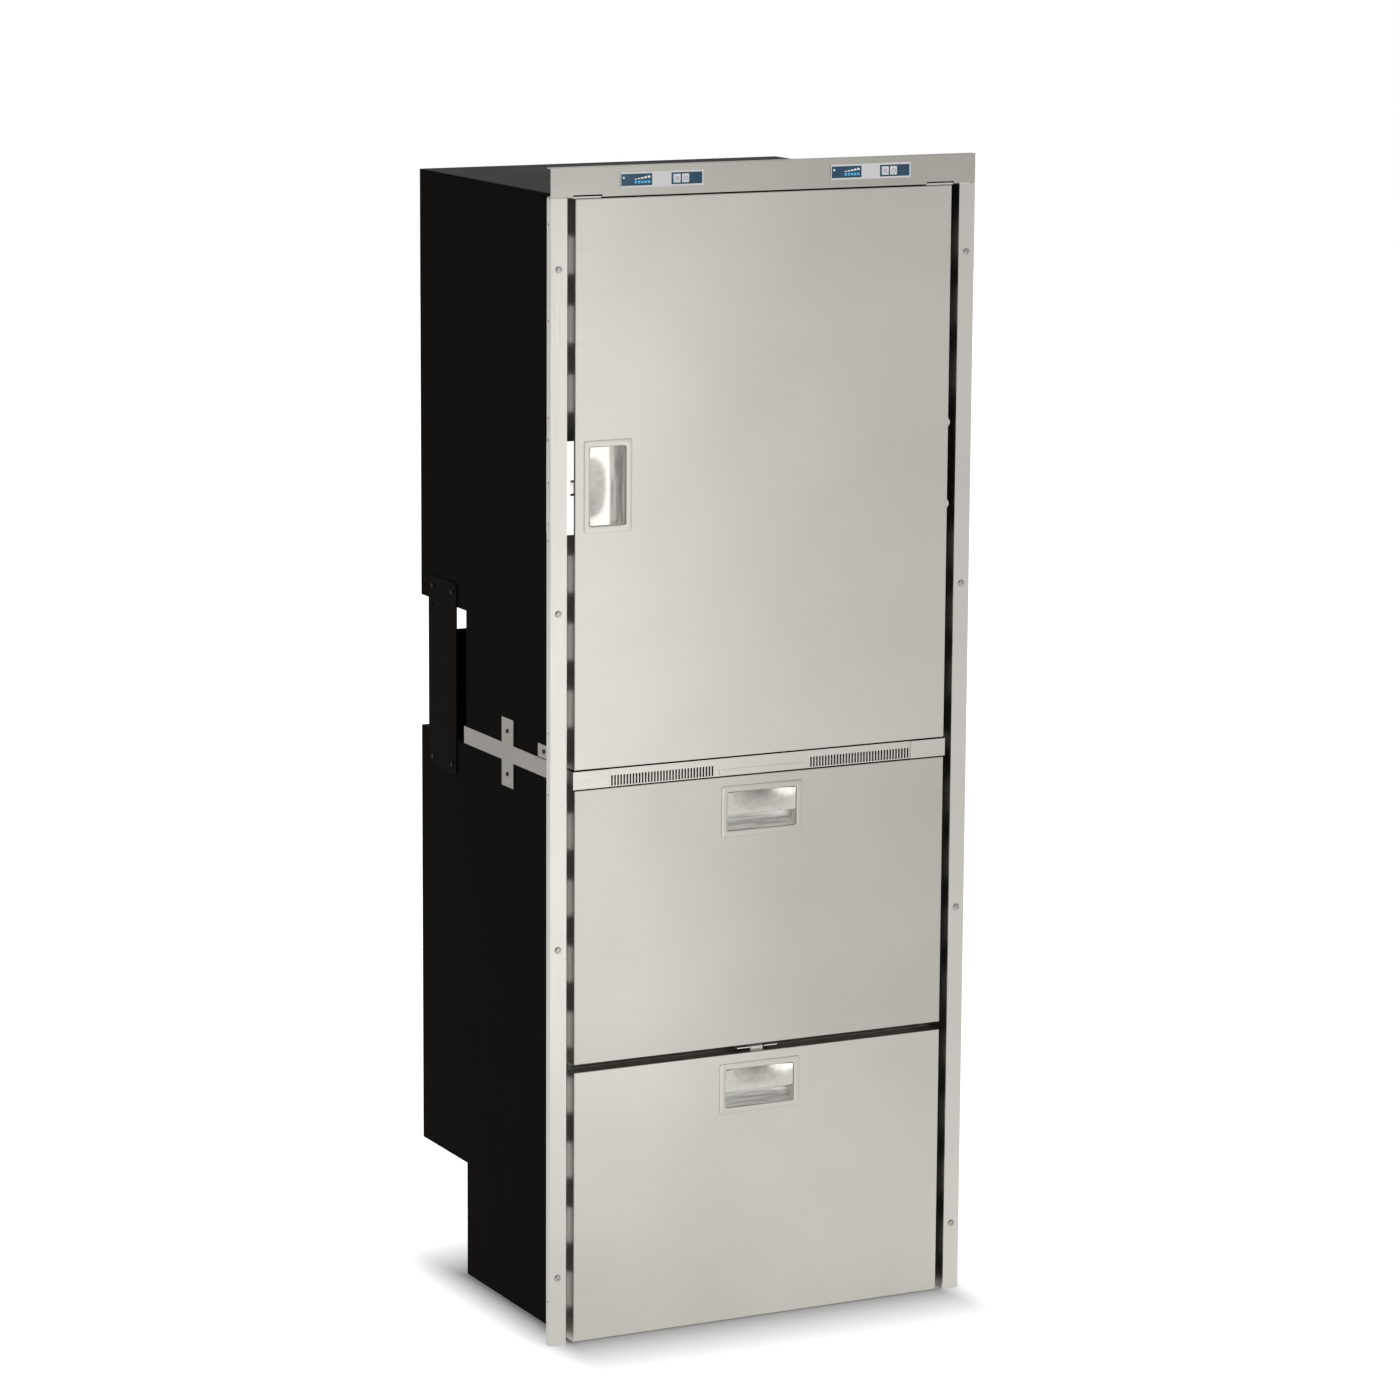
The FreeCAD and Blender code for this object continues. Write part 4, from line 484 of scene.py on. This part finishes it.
def latch_surround():
    """The thin frame with its rolled inner lip, and the pocket shell with the finger bowl below the paddle."""
    shape = bmesh.new()
    outer = rounded_plate(shape, frame_half, frame_foot, 0, 0.003, 0)
    inner = rounded_plate(shape, mouth_half, mouth_foot, mouth_top, 0.0032, 0)
    loops = list(outer.edges) + list(inner.edges)
    bmesh.ops.delete(shape, geom=[outer, inner], context="FACES_ONLY")
    ring = bmesh.ops.bridge_loops(shape, edges=loops)["faces"]
    grown = bmesh.ops.extrude_face_region(shape, geom=ring)
    front = [v for v in grown["geom"] if isinstance(v, bmesh.types.BMVert)]
    bmesh.ops.translate(shape, verts=front, vec=(0, -frame_proud, 0))
    lip_foot = [v for v in shape.verts if v.co.y > -frame_proud / 2 and by_mouth(v)]
    bmesh.ops.translate(shape, verts=lip_foot, vec=(0, 0.0018, 0))
    faces = {f for f in grown["geom"] if isinstance(f, bmesh.types.BMFace)}
    edges = {e for f in faces for e in f.edges if sum(link in faces for link in e.link_faces) == 1}
    lip = [e for e in edges if all(by_mouth(v) for v in e.verts)]
    rim = [e for e in edges if e not in lip]
    bmesh.ops.bevel(shape, geom=lip, offset=0.0015, segments=4, affect="EDGES", profile=0.5, material=-1)
    rim = [e for e in rim if e.is_valid]
    bmesh.ops.bevel(shape, geom=rim, offset=0.0006, segments=3, affect="EDGES", profile=0.5, material=-1)
    bmesh.ops.recalc_face_normals(shape, faces=shape.faces)
    old = set(shape.faces)
    # the pocket: straight top wall, flat back, then the bowl round to the lower lip
    outline = [(pocket_start, mouth_top), (pocket_deep - 0.0015, mouth_top),
               (pocket_deep - 0.0005, mouth_top - 0.0004), (pocket_deep, mouth_top - 0.0015)]
    for step in range(bowl_steps + 1):
        angle = math.radians(bowl_from + step * (bowl_to - bowl_from) / bowl_steps)
        outline.append((bowl_back + bowl_round * math.cos(angle), bowl_height + bowl_round * math.sin(angle)))
    outline.append((pocket_start, mouth_foot))
    verts = [shape.verts.new((-mouth_half, y, z)) for y, z in outline]
    path = [shape.edges.new(pair) for pair in zip(verts, verts[1:])]
    swept = bmesh.ops.extrude_edge_only(shape, edges=path)
    far = [v for v in swept["geom"] if isinstance(v, bmesh.types.BMVert)]
    bmesh.ops.translate(shape, verts=far, vec=(2 * mouth_half, 0, 0))
    ends = [min(far, key=lambda spot: (spot.co - v.co).yz.length) for v in verts]
    caps = [shape.faces.new(verts), shape.faces.new(ends)]
    rounds = [e for cap in caps for e in cap.edges if len(e.link_faces) == 2]
    bmesh.ops.bevel(shape, geom=rounds, offset=0.002, segments=3, affect="EDGES", profile=0.5, material=-1)
    shell = [f for f in shape.faces if f not in old]
    bmesh.ops.recalc_face_normals(shape, faces=shell)
    if next(f for f in shell if abs(f.normal.y) > 0.9).normal.y > 0:
        bmesh.ops.reverse_faces(shape, faces=shell)
    # the slot in the top wall that the bolt runs through
    wall = [f for f in shell if f.normal.z < -0.9 and f.calc_center_median().z > -0.0095 and f.calc_area() > 0.0005]
    for spot, side in (((slot_half, 0, 0), (1, 0, 0)), ((-slot_half, 0, 0), (1, 0, 0)),
                       ((0, slot_front, 0), (0, 1, 0)), ((0, slot_rear, 0), (0, 1, 0))):
        geom = list({item for f in wall for item in (f, *f.edges, *f.verts)})
        cut = bmesh.ops.bisect_plane(shape, geom=geom, plane_co=spot, plane_no=side)
        wall = [item for item in cut["geom"] if isinstance(item, bmesh.types.BMFace)]
    centres = [(f, f.calc_center_median()) for f in wall]
    slot = [f for f, spot in centres if abs(spot.x) < slot_half and slot_front < spot.y < slot_rear]
    bmesh.ops.delete(shape, geom=slot, context="FACES")
    shell = [f for f in shape.faces if f not in old]
    for f in shell:
        f.material_index = 1
    skin = bmesh.ops.solidify(shape, geom=shell, thickness=pocket_wall)
    for f in skin["geom"]:
        if isinstance(f, bmesh.types.BMFace):
            f.material_index = 1
    return shape


# the paddle, its dish at its deepest in the middle of the hinged edge, and its pivot
paddle_half, paddle_top, paddle_across, paddle_back, dish_deep = 0.0527, -0.0102, 0.0286, 0.0012, 0.0066
pivot_place, pivot_round = Vector((0.0522, 0.0065, -0.0124)), 0.002


def latch_paddle():
    """The dished sheet: deep along its hinged edge in the middle, flat at its ends, with a straight folded lip."""
    shape = bmesh.new()
    place = (Matrix.Translation((0, 0, paddle_top - paddle_across / 2)) @ facing_front
             @ Matrix.Diagonal((2 * paddle_half, paddle_across, 1, 1)))
    made = bmesh.ops.create_grid(shape, x_segments=28, y_segments=12, size=0.5, matrix=place)
    for v in made["verts"]:
        across = min(1.0, (paddle_top - v.co.z) / paddle_across)
        along = abs(v.co.x) / paddle_half
        bay = max(0.0, 1 - along ** 2) ** 1.2
        v.co.y = paddle_back + dish_deep * bay * (1 - across) ** 1.7
    near_foot = paddle_top - paddle_across + 0.0001
    edge = [e for e in shape.edges if len(e.link_faces) == 1 and all(v.co.z < near_foot for v in e.verts)]
    # the pulled edge folds down, back and up again
    for move in ((0, 0.0002, -0.0018), (0, 0.0016, -0.0008), (0, 0.003, 0.0004)):
        grown = bmesh.ops.extrude_edge_only(shape, edges=edge)
        bmesh.ops.translate(shape, vec=move, verts=[v for v in grown["geom"] if isinstance(v, bmesh.types.BMVert)])
        edge = [e for e in grown["geom"] if isinstance(e, bmesh.types.BMEdge)]
    bmesh.ops.recalc_face_normals(shape, faces=shape.faces)
    if sum(f.normal.y for f in shape.faces) > 0:
        bmesh.ops.reverse_faces(shape, faces=shape.faces)
    bmesh.ops.solidify(shape, geom=list(shape.faces), thickness=0.0013)
    # a short pivot stands out of a small ear at each end
    for side in (-1, 1):
        place = (Matrix.Translation((side * pivot_place.x, pivot_place.y, pivot_place.z))
                 @ Matrix.Rotation(math.pi / 2, 4, "Y"))
        bmesh.ops.create_cone(shape, cap_ends=True, segments=20, radius1=pivot_round, radius2=pivot_round,
                              depth=0.0045, matrix=place)
        block(shape, (side * 0.0505 - 0.0006, 0.0022, -0.0148), (side * 0.0505 + 0.0006, 0.0085, -0.0104))
    return shape


door_low, door_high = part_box("door_skin")
door_middle = (door_low.z + door_high.z) / 2
latch_edge = 0.013
latch_seats = {"door": Matrix.Translation((door_low.x + latch_edge, face, door_middle))
               @ Matrix.Rotation(-math.pi / 2, 4, "Y")}
for kind in ("drawer_1", "drawer_2"):
    latch_seats[kind] = Matrix.Translation((0, face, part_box(kind + "_skin")[1].z - latch_edge))
for kind, seat in latch_seats.items():
    shape = latch_surround()
    bmesh.ops.transform(shape, matrix=seat, verts=shape.verts)
    # the upper drawer's surround takes that same darker copy, painted shade like its front
    frame_steel = painted_shade_front_steel if kind == "drawer_1" else front_steel
    pocket_steel = upright_pocket if kind == "door" else level_pocket
    surround = piece(kind + "_latch_surround", shape, [frame_steel, pocket_steel], kind, 40)
    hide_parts(kind + "_latch_housing")
    shape = latch_paddle()
    bmesh.ops.transform(shape, matrix=seat, verts=shape.verts)
    pull = piece(kind + "_dished_paddle", shape, [polished_steel], kind + "_paddle", 40)
    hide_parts(kind + "_latch_paddle")

# Die cast zinc bolt, its pale tone painted light where it lies deep in the gap's shade, and softer than the sheet
# round it.
tree, place = begin_finish("nickelled_die_casting")
skin = add(tree, "TexNoise", {"Scale": 1 / 0.002, "Detail": 2}, Vector=place)
tone = add(tree, "ValToRGB", {"stops": [(0.3, "#d6d4cf"), (0.7, "#e4e2dd")]}, Fac=skin.outputs["Fac"])
bolt_steel_painted_light = end_finish(tree, {"Metallic": 0.6, "Roughness": 0.35}, Base_Color=tone.outputs["Color"])
dress(bolt_steel_painted_light, "door_latch_bolt", "drawer_1_latch_bolt", "drawer_2_latch_bolt", edge=0.0003)

# The strike plate is the same sheet, brushed finer, with a lighter tone that is painted light: it stands in for the
# light it shows in the gap.
strike_steel_painted_light = brushed("brushed_stainless_strike", 2, "#d9d6d1", "#cecbc6", 0.3, 0.38)
dress(strike_steel_painted_light, "latch_strikes", edge=0.0003)
# the strike's mouth keeps a narrow bridge over the bolt's end, in the strike's painted light tone, with a dark slit
# above and below it
bridge_half, bridge_left, bridge_right = 0.0076, -0.2908, -0.2851
bridge = bmesh.new()
block(bridge, (bridge_left, face + 0.0016, door_middle - bridge_half),
      (bridge_right, face + 0.0028, door_middle + bridge_half), 0, 0.0004)
piece("strike_bridge", bridge, [strike_steel_painted_light], "cabinet")

# ---------------------------------------------------------------- inside the door compartment
# Coated wire shelves on ledges, clear plastic bins in the door, and flat aluminium evaporators on the back walls.

# Epoxy coat on wire: white and glossy, thicker where it ran.
tree, place = begin_finish("epoxy_coated_wire")
sag = add(tree, "TexNoise", {"Scale": 1 / 0.01, "Detail": 2}, Vector=place)
tone = add(tree, "ValToRGB", {"stops": [(0.3, "#e2e2df"), (0.7, "#ededea")]}, Fac=sag.outputs["Fac"])
coated_wire = end_finish(tree, {"Roughness": 0.3}, Base_Color=tone.outputs["Color"])
dress(coated_wire, "shelves")

# Injection moulded styrene: almost clear with a cold tint, smooth, with faint flow lines.
tree, place = begin_finish("clear_styrene")
flow = add(tree, "TexNoise", {"Scale": 1 / 0.05, "Detail": 2}, Vector=place)
tone = add(tree, "ValToRGB", {"stops": [(0.3, "#dfe7ea"), (0.7, "#ebf1f3")]}, Fac=flow.outputs["Fac"])
clear_plastic = end_finish(tree, {"Roughness": 0.12, "Transmission Weight": 0.75, "IOR": 1.5},
                           Base_Color=tone.outputs["Color"])
dress(clear_plastic, "door_bins", edge=0.0008)

# Rolled aluminium sheet: dull silver, slightly mottled.
tree, place = begin_finish("rolled_aluminium")
roll = add(tree, "TexNoise", {"Scale": 1 / 0.003, "Detail": 3}, Vector=place)
tone = add(tree, "ValToRGB", {"stops": [(0.3, "#b4b7b9"), (0.7, "#c8cacb")]}, Fac=roll.outputs["Fac"])
aluminium = end_finish(tree, {"Metallic": 1.0, "Roughness": 0.4}, Base_Color=tone.outputs["Color"])
dress(aluminium, "evaporators", "condenser", edge=0.0004)

# ---------------------------------------------------------------- drawers
# White moulded tubs fixed to the fronts and carried by zinc plated slides of three members.
dress(liner_plastic, "drawer_1_basket", "drawer_2_basket", edge=0.0008)
dress(zinc, "fixed_slides", "drawer_1_inner_slides", "drawer_2_inner_slides",
      "drawer_1_middle_slides", "drawer_2_middle_slides", edge=0.0003)

# ---------------------------------------------------------------- what ties the two cabinets together
# Plain steel stacking channels with a cross arm at each side, and black plates and tabs screwed over the joint.
dress(sheet_steel, "spacer_channels", edge=0.0004)

# Powder coated plates at the back, bare steel tabs at the front: the same pressing batch, so one finish holds both
# and changes over between them, well away from either.
tree, place = begin_finish("coated_plates_and_bare_tabs")
parts = add(tree, "SeparateXYZ", Vector=place)
bare = add(tree, "Math", {"operation": "LESS_THAN", 1: -0.1}, {0: parts.outputs["Y"]})
peel = add(tree, "TexNoise", {"Scale": 1 / 0.003, "Detail": 2}, Vector=place)
coat = add(tree, "ValToRGB", {"stops": [(0.3, "#100e0b"), (0.7, "#191611")]}, Fac=peel.outputs["Fac"])
steel = add(tree, "ValToRGB", {"stops": [(0.3, "#8a8781"), (0.7, "#999690")]}, Fac=peel.outputs["Fac"])
tone = add(tree, "Mix", {"data_type": "RGBA"},
           {0: bare.outputs["Value"], 6: coat.outputs["Color"], 7: steel.outputs["Color"]})
gloss = add(tree, "MapRange", {"To Min": 0.4, "To Max": 0.5}, Value=peel.outputs["Fac"])
plate_coat = end_finish(tree, {"IOR": 1.5, "Specular IOR Level": 0.004}, Base_Color=tone.outputs[2],
                        Metallic=bare.outputs["Value"], Roughness=gloss.outputs["Result"])
dress(plate_coat, "side_brackets", edge=0.0004)

# Blackened screws: oxide on steel, dull, nearly lost against the paint.
tree, place = begin_finish("black_oxide_screws")
oxide = add(tree, "TexNoise", {"Scale": 1 / 0.001, "Detail": 2}, Vector=place)
tone = add(tree, "ValToRGB", {"stops": [(0.3, "#0f0e0c"), (0.7, "#1c1a17")]}, Fac=oxide.outputs["Fac"])
black_oxide = end_finish(tree, {"Metallic": 0.3, "Roughness": 0.5, "Specular IOR Level": 0.1},
                         Base_Color=tone.outputs["Color"])
dress(black_oxide, "bracket_screws", edge=0.0004)

# ---------------------------------------------------------------- machinery behind
# Two compressors with black enamelled shells, a finned condenser with its fan, and a slotted guard.

# Stoved enamel on pressed steel: glossy black with light orange peel.
tree, place = begin_finish("black_enamel")
peel = add(tree, "TexNoise", {"Scale": 1 / 0.004, "Detail": 2}, Vector=place)
tone = add(tree, "ValToRGB", {"stops": [(0.3, "#0f0f0f"), (0.7, "#171717")]}, Fac=peel.outputs["Fac"])
relief = add(tree, "Bump", {"Strength": 0.1, "Distance": 0.0004}, Height=peel.outputs["Fac"])
enamel = end_finish(tree, {"Roughness": 0.22}, Base_Color=tone.outputs["Color"], Normal=relief.outputs["Normal"])
dress(enamel, "compressors", edge=0.0008)

# Glass filled nylon: black and matt, with a fine moulded texture.
tree, place = begin_finish("moulded_black_nylon")
grain = add(tree, "TexNoise", {"Scale": 1 / 0.001, "Detail": 2}, Vector=place)
tone = add(tree, "ValToRGB", {"stops": [(0.3, "#151515"), (0.7, "#1e1e1e")]}, Fac=grain.outputs["Fac"])
black_nylon = end_finish(tree, {"Roughness": 0.55}, Base_Color=tone.outputs["Color"])
dress(black_nylon, "condenser_fan", edge=0.0004)
dress(powder_coat, "machine_guard", edge=0.0004)

# Open cell filter foam, black and quite matt, with cells 3 mm across: a mat of it lies behind the guard's slots.
tree, place = begin_finish("open_cell_filter_foam")
cells = add(tree, "TexVoronoi", {"Scale": 1 / 0.003}, Vector=place)
tone = add(tree, "ValToRGB", {"stops": [(0.1, "#060606"), (0.6, "#1b1b1b")]}, Fac=cells.outputs["Distance"])
relief = add(tree, "Bump", {"Strength": 0.6, "Distance": 0.001}, Height=cells.outputs["Distance"])
filter_foam = end_finish(tree, {"Roughness": 0.95, "Specular IOR Level": 0.05}, Base_Color=tone.outputs["Color"],
                         Normal=relief.outputs["Normal"])
guard_low, guard_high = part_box("machine_guard")
mat = bmesh.new()
mat_front, mat_rear = guard_high.y - 0.0065, guard_high.y - 0.0016
block(mat, (guard_low.x + 0.002, mat_front, guard_low.z + 0.004),
      (guard_high.x - 0.002, mat_rear, guard_high.z - 0.003), 0, 0.001)
piece("guard_filter_mat", mat, [filter_foam], "cabinet")

# ---------------------------------------------------------------- studio
# A pale floor that clips to white away from the unit and keeps its soft shadow, with a painted shadow round the unit
# where its glow fades, plain soft lamps, and the photograph's camera.
tree, place = begin_finish("pale_studio_floor")
shade = add(tree, "TexNoise", {"Scale": 2.0, "Detail": 2}, Vector=place)
tone = add(tree, "ValToRGB", {"stops": [(0.0, "#b0b0b0"), (1.0, "#b5b5b5")]}, Fac=shade.outputs["Fac"])
# how far a point of the floor is from the front part of the unit's footprint, counted less to the front and back;
# within shadow_reach of it the floor's glow fades out, a painted shadow round the unit on top of its real shadow
footprint, footprint_middle = Vector((0.286, 0.172, 0)), (0, -0.08, 0)
shadow_reach = 0.11
centred = add(tree, "VectorMath", {"operation": "SUBTRACT", 1: footprint_middle}, {0: place})
mirrored = add(tree, "VectorMath", {"operation": "ABSOLUTE"}, {0: centred.outputs["Vector"]})
beyond = add(tree, "VectorMath", {"operation": "SUBTRACT", 1: footprint}, {0: mirrored.outputs["Vector"]})
outside = add(tree, "VectorMath", {"operation": "MAXIMUM", 1: (0, 0, 0)}, {0: beyond.outputs["Vector"]})
longer = add(tree, "VectorMath", {"operation": "MULTIPLY", 1: (1.4, 0.5, 1)}, {0: outside.outputs["Vector"]})
reach = add(tree, "VectorMath", {"operation": "LENGTH"}, {0: longer.outputs["Vector"]})
# the painted shadow: no glow at the footprint, full glow at shadow_reach
painted_shadow_fade = add(tree, "MapRange", {"From Min": 0.0, "From Max": shadow_reach, "To Min": 0.0, "To Max": 1.0},
           Value=reach.outputs["Value"])
far = add(tree, "Math", {"operation": "POWER", 1: 0.8}, {0: painted_shadow_fade.outputs["Result"]})
seen = add(tree, "LightPath")
camera_part = add(tree, "Math", {"operation": "MULTIPLY"},
                  {0: seen.outputs["Is Camera Ray"], 1: far.outputs["Value"]})
mirror_part = add(tree, "Math", {"operation": "MULTIPLY", 1: 0.86}, {0: seen.outputs["Is Glossy Ray"]})
glow = add(tree, "Math", {"operation": "MAXIMUM"}, {0: camera_part.outputs[0], 1: mirror_part.outputs[0]})
glow = add(tree, "Math", {"operation": "MAXIMUM"}, {0: glow.outputs[0], 1: seen.outputs["Is Transmission Ray"]})
floor_finish = end_finish(tree, {"Roughness": 0.9, "Specular IOR Level": 0.0, "Emission Color": (1, 1, 1, 1)},
                          Base_Color=tone.outputs["Color"], Emission_Strength=glow.outputs[0])
ground = bmesh.new()
bmesh.ops.create_grid(ground, x_segments=4, y_segments=4, size=12)  # 24 m square
floor_mesh = bpy.data.meshes.new("studio_floor")
ground.to_mesh(floor_mesh)
ground.free()
floor = bpy.data.objects.new("studio_floor", floor_mesh)
bpy.context.scene.collection.objects.link(floor)
floor_mesh.materials.append(floor_finish)

world = bpy.data.worlds.new("white_room")
bpy.context.scene.world = world
world.use_nodes = True
sky = world.node_tree
sky.nodes.clear()
seen = add(sky, "LightPath")
# the room is darker overhead, which gives mirrors and the satin fronts something to show
aim = add(sky, "TexCoord")
height = add(sky, "SeparateXYZ", Vector=aim.outputs["Generated"])
dusk = add(sky, "MapRange", {"interpolation_type": "SMOOTHSTEP", "From Min": 0.05, "From Max": 0.6, "To Min": 1.0,
                             "To Max": 0.25}, Value=height.outputs["Z"])
mirrored = add(sky, "Math", {"operation": "MULTIPLY"},
               {0: seen.outputs["Is Glossy Ray"], 1: dusk.outputs["Result"]})
plain = add(sky, "Math", {"operation": "MAXIMUM"},
            {0: seen.outputs["Is Camera Ray"], 1: seen.outputs["Is Transmission Ray"]})
most = add(sky, "Math", {"operation": "MAXIMUM"}, {0: mirrored.outputs[0], 1: plain.outputs[0]})
spread = add(sky, "Math", {"operation": "MULTIPLY", 1: 0.75}, {0: seen.outputs["Is Diffuse Ray"]})
level = add(sky, "Math", {"operation": "MAXIMUM"}, {0: most.outputs[0], 1: spread.outputs[0]})
room = add(sky, "Background", {"Color": (1, 1, 1, 1)}, Strength=level.outputs[0])
add(sky, "OutputWorld", Surface=room.outputs[0])


def lamp(name, spot, aim, wide, tall, power):
    """A soft rectangular lamp that shines from one point towards another, and isn't seen itself."""
    light = bpy.data.lights.new(name, "AREA")
    light.shape, light.size, light.size_y, light.energy = "RECTANGLE", wide, tall, power
    made = bpy.data.objects.new(name, light)
    bpy.context.scene.collection.objects.link(made)
    made.location = spot
    made.rotation_euler = (Vector(aim) - Vector(spot)).to_track_quat("-Z", "Y").to_euler()
    made.visible_camera = False
    return made


lamp("front_softbox", (0.17, -1.35, 0.78), (-0.2, -0.25, 0.9), 0.38, 1.52, 2.3)
lamp("overhead_softbox", (0.3, -0.3, 3.4), (0, 0, 0.6), 2.2, 2.2, 22)

# the photograph's camera, as fitted: it stands to the left of the unit and looks right, down and barely tilted
stand = Vector((-3.18497, -6.37663, 2.17306))
yaw, pitch, roll = math.radians(26.781), math.radians(10.657), math.radians(0.36)
ahead = Vector((math.sin(yaw) * math.cos(pitch), math.cos(yaw) * math.cos(pitch), -math.sin(pitch)))
right = Vector((math.cos(yaw), -math.sin(yaw), 0))
up = right.cross(ahead)
level_right = math.cos(roll) * right + math.sin(roll) * up
level_up = -math.sin(roll) * right + math.cos(roll) * up
view = bpy.data.cameras.new("photo_camera")
view.sensor_fit, view.sensor_width, view.lens = "HORIZONTAL", 36, 132.29
view.clip_end = 100
camera = bpy.data.objects.new("photo_camera", view)
bpy.context.scene.collection.objects.link(camera)
camera.matrix_world = Matrix((
    (level_right.x, level_up.x, -ahead.x, stand.x),
    (level_right.y, level_up.y, -ahead.y, stand.y),
    (level_right.z, level_up.z, -ahead.z, stand.z),
    (0, 0, 0, 1)))
bpy.context.scene.camera = camera
bpy.context.scene.view_settings.view_transform = "Standard"
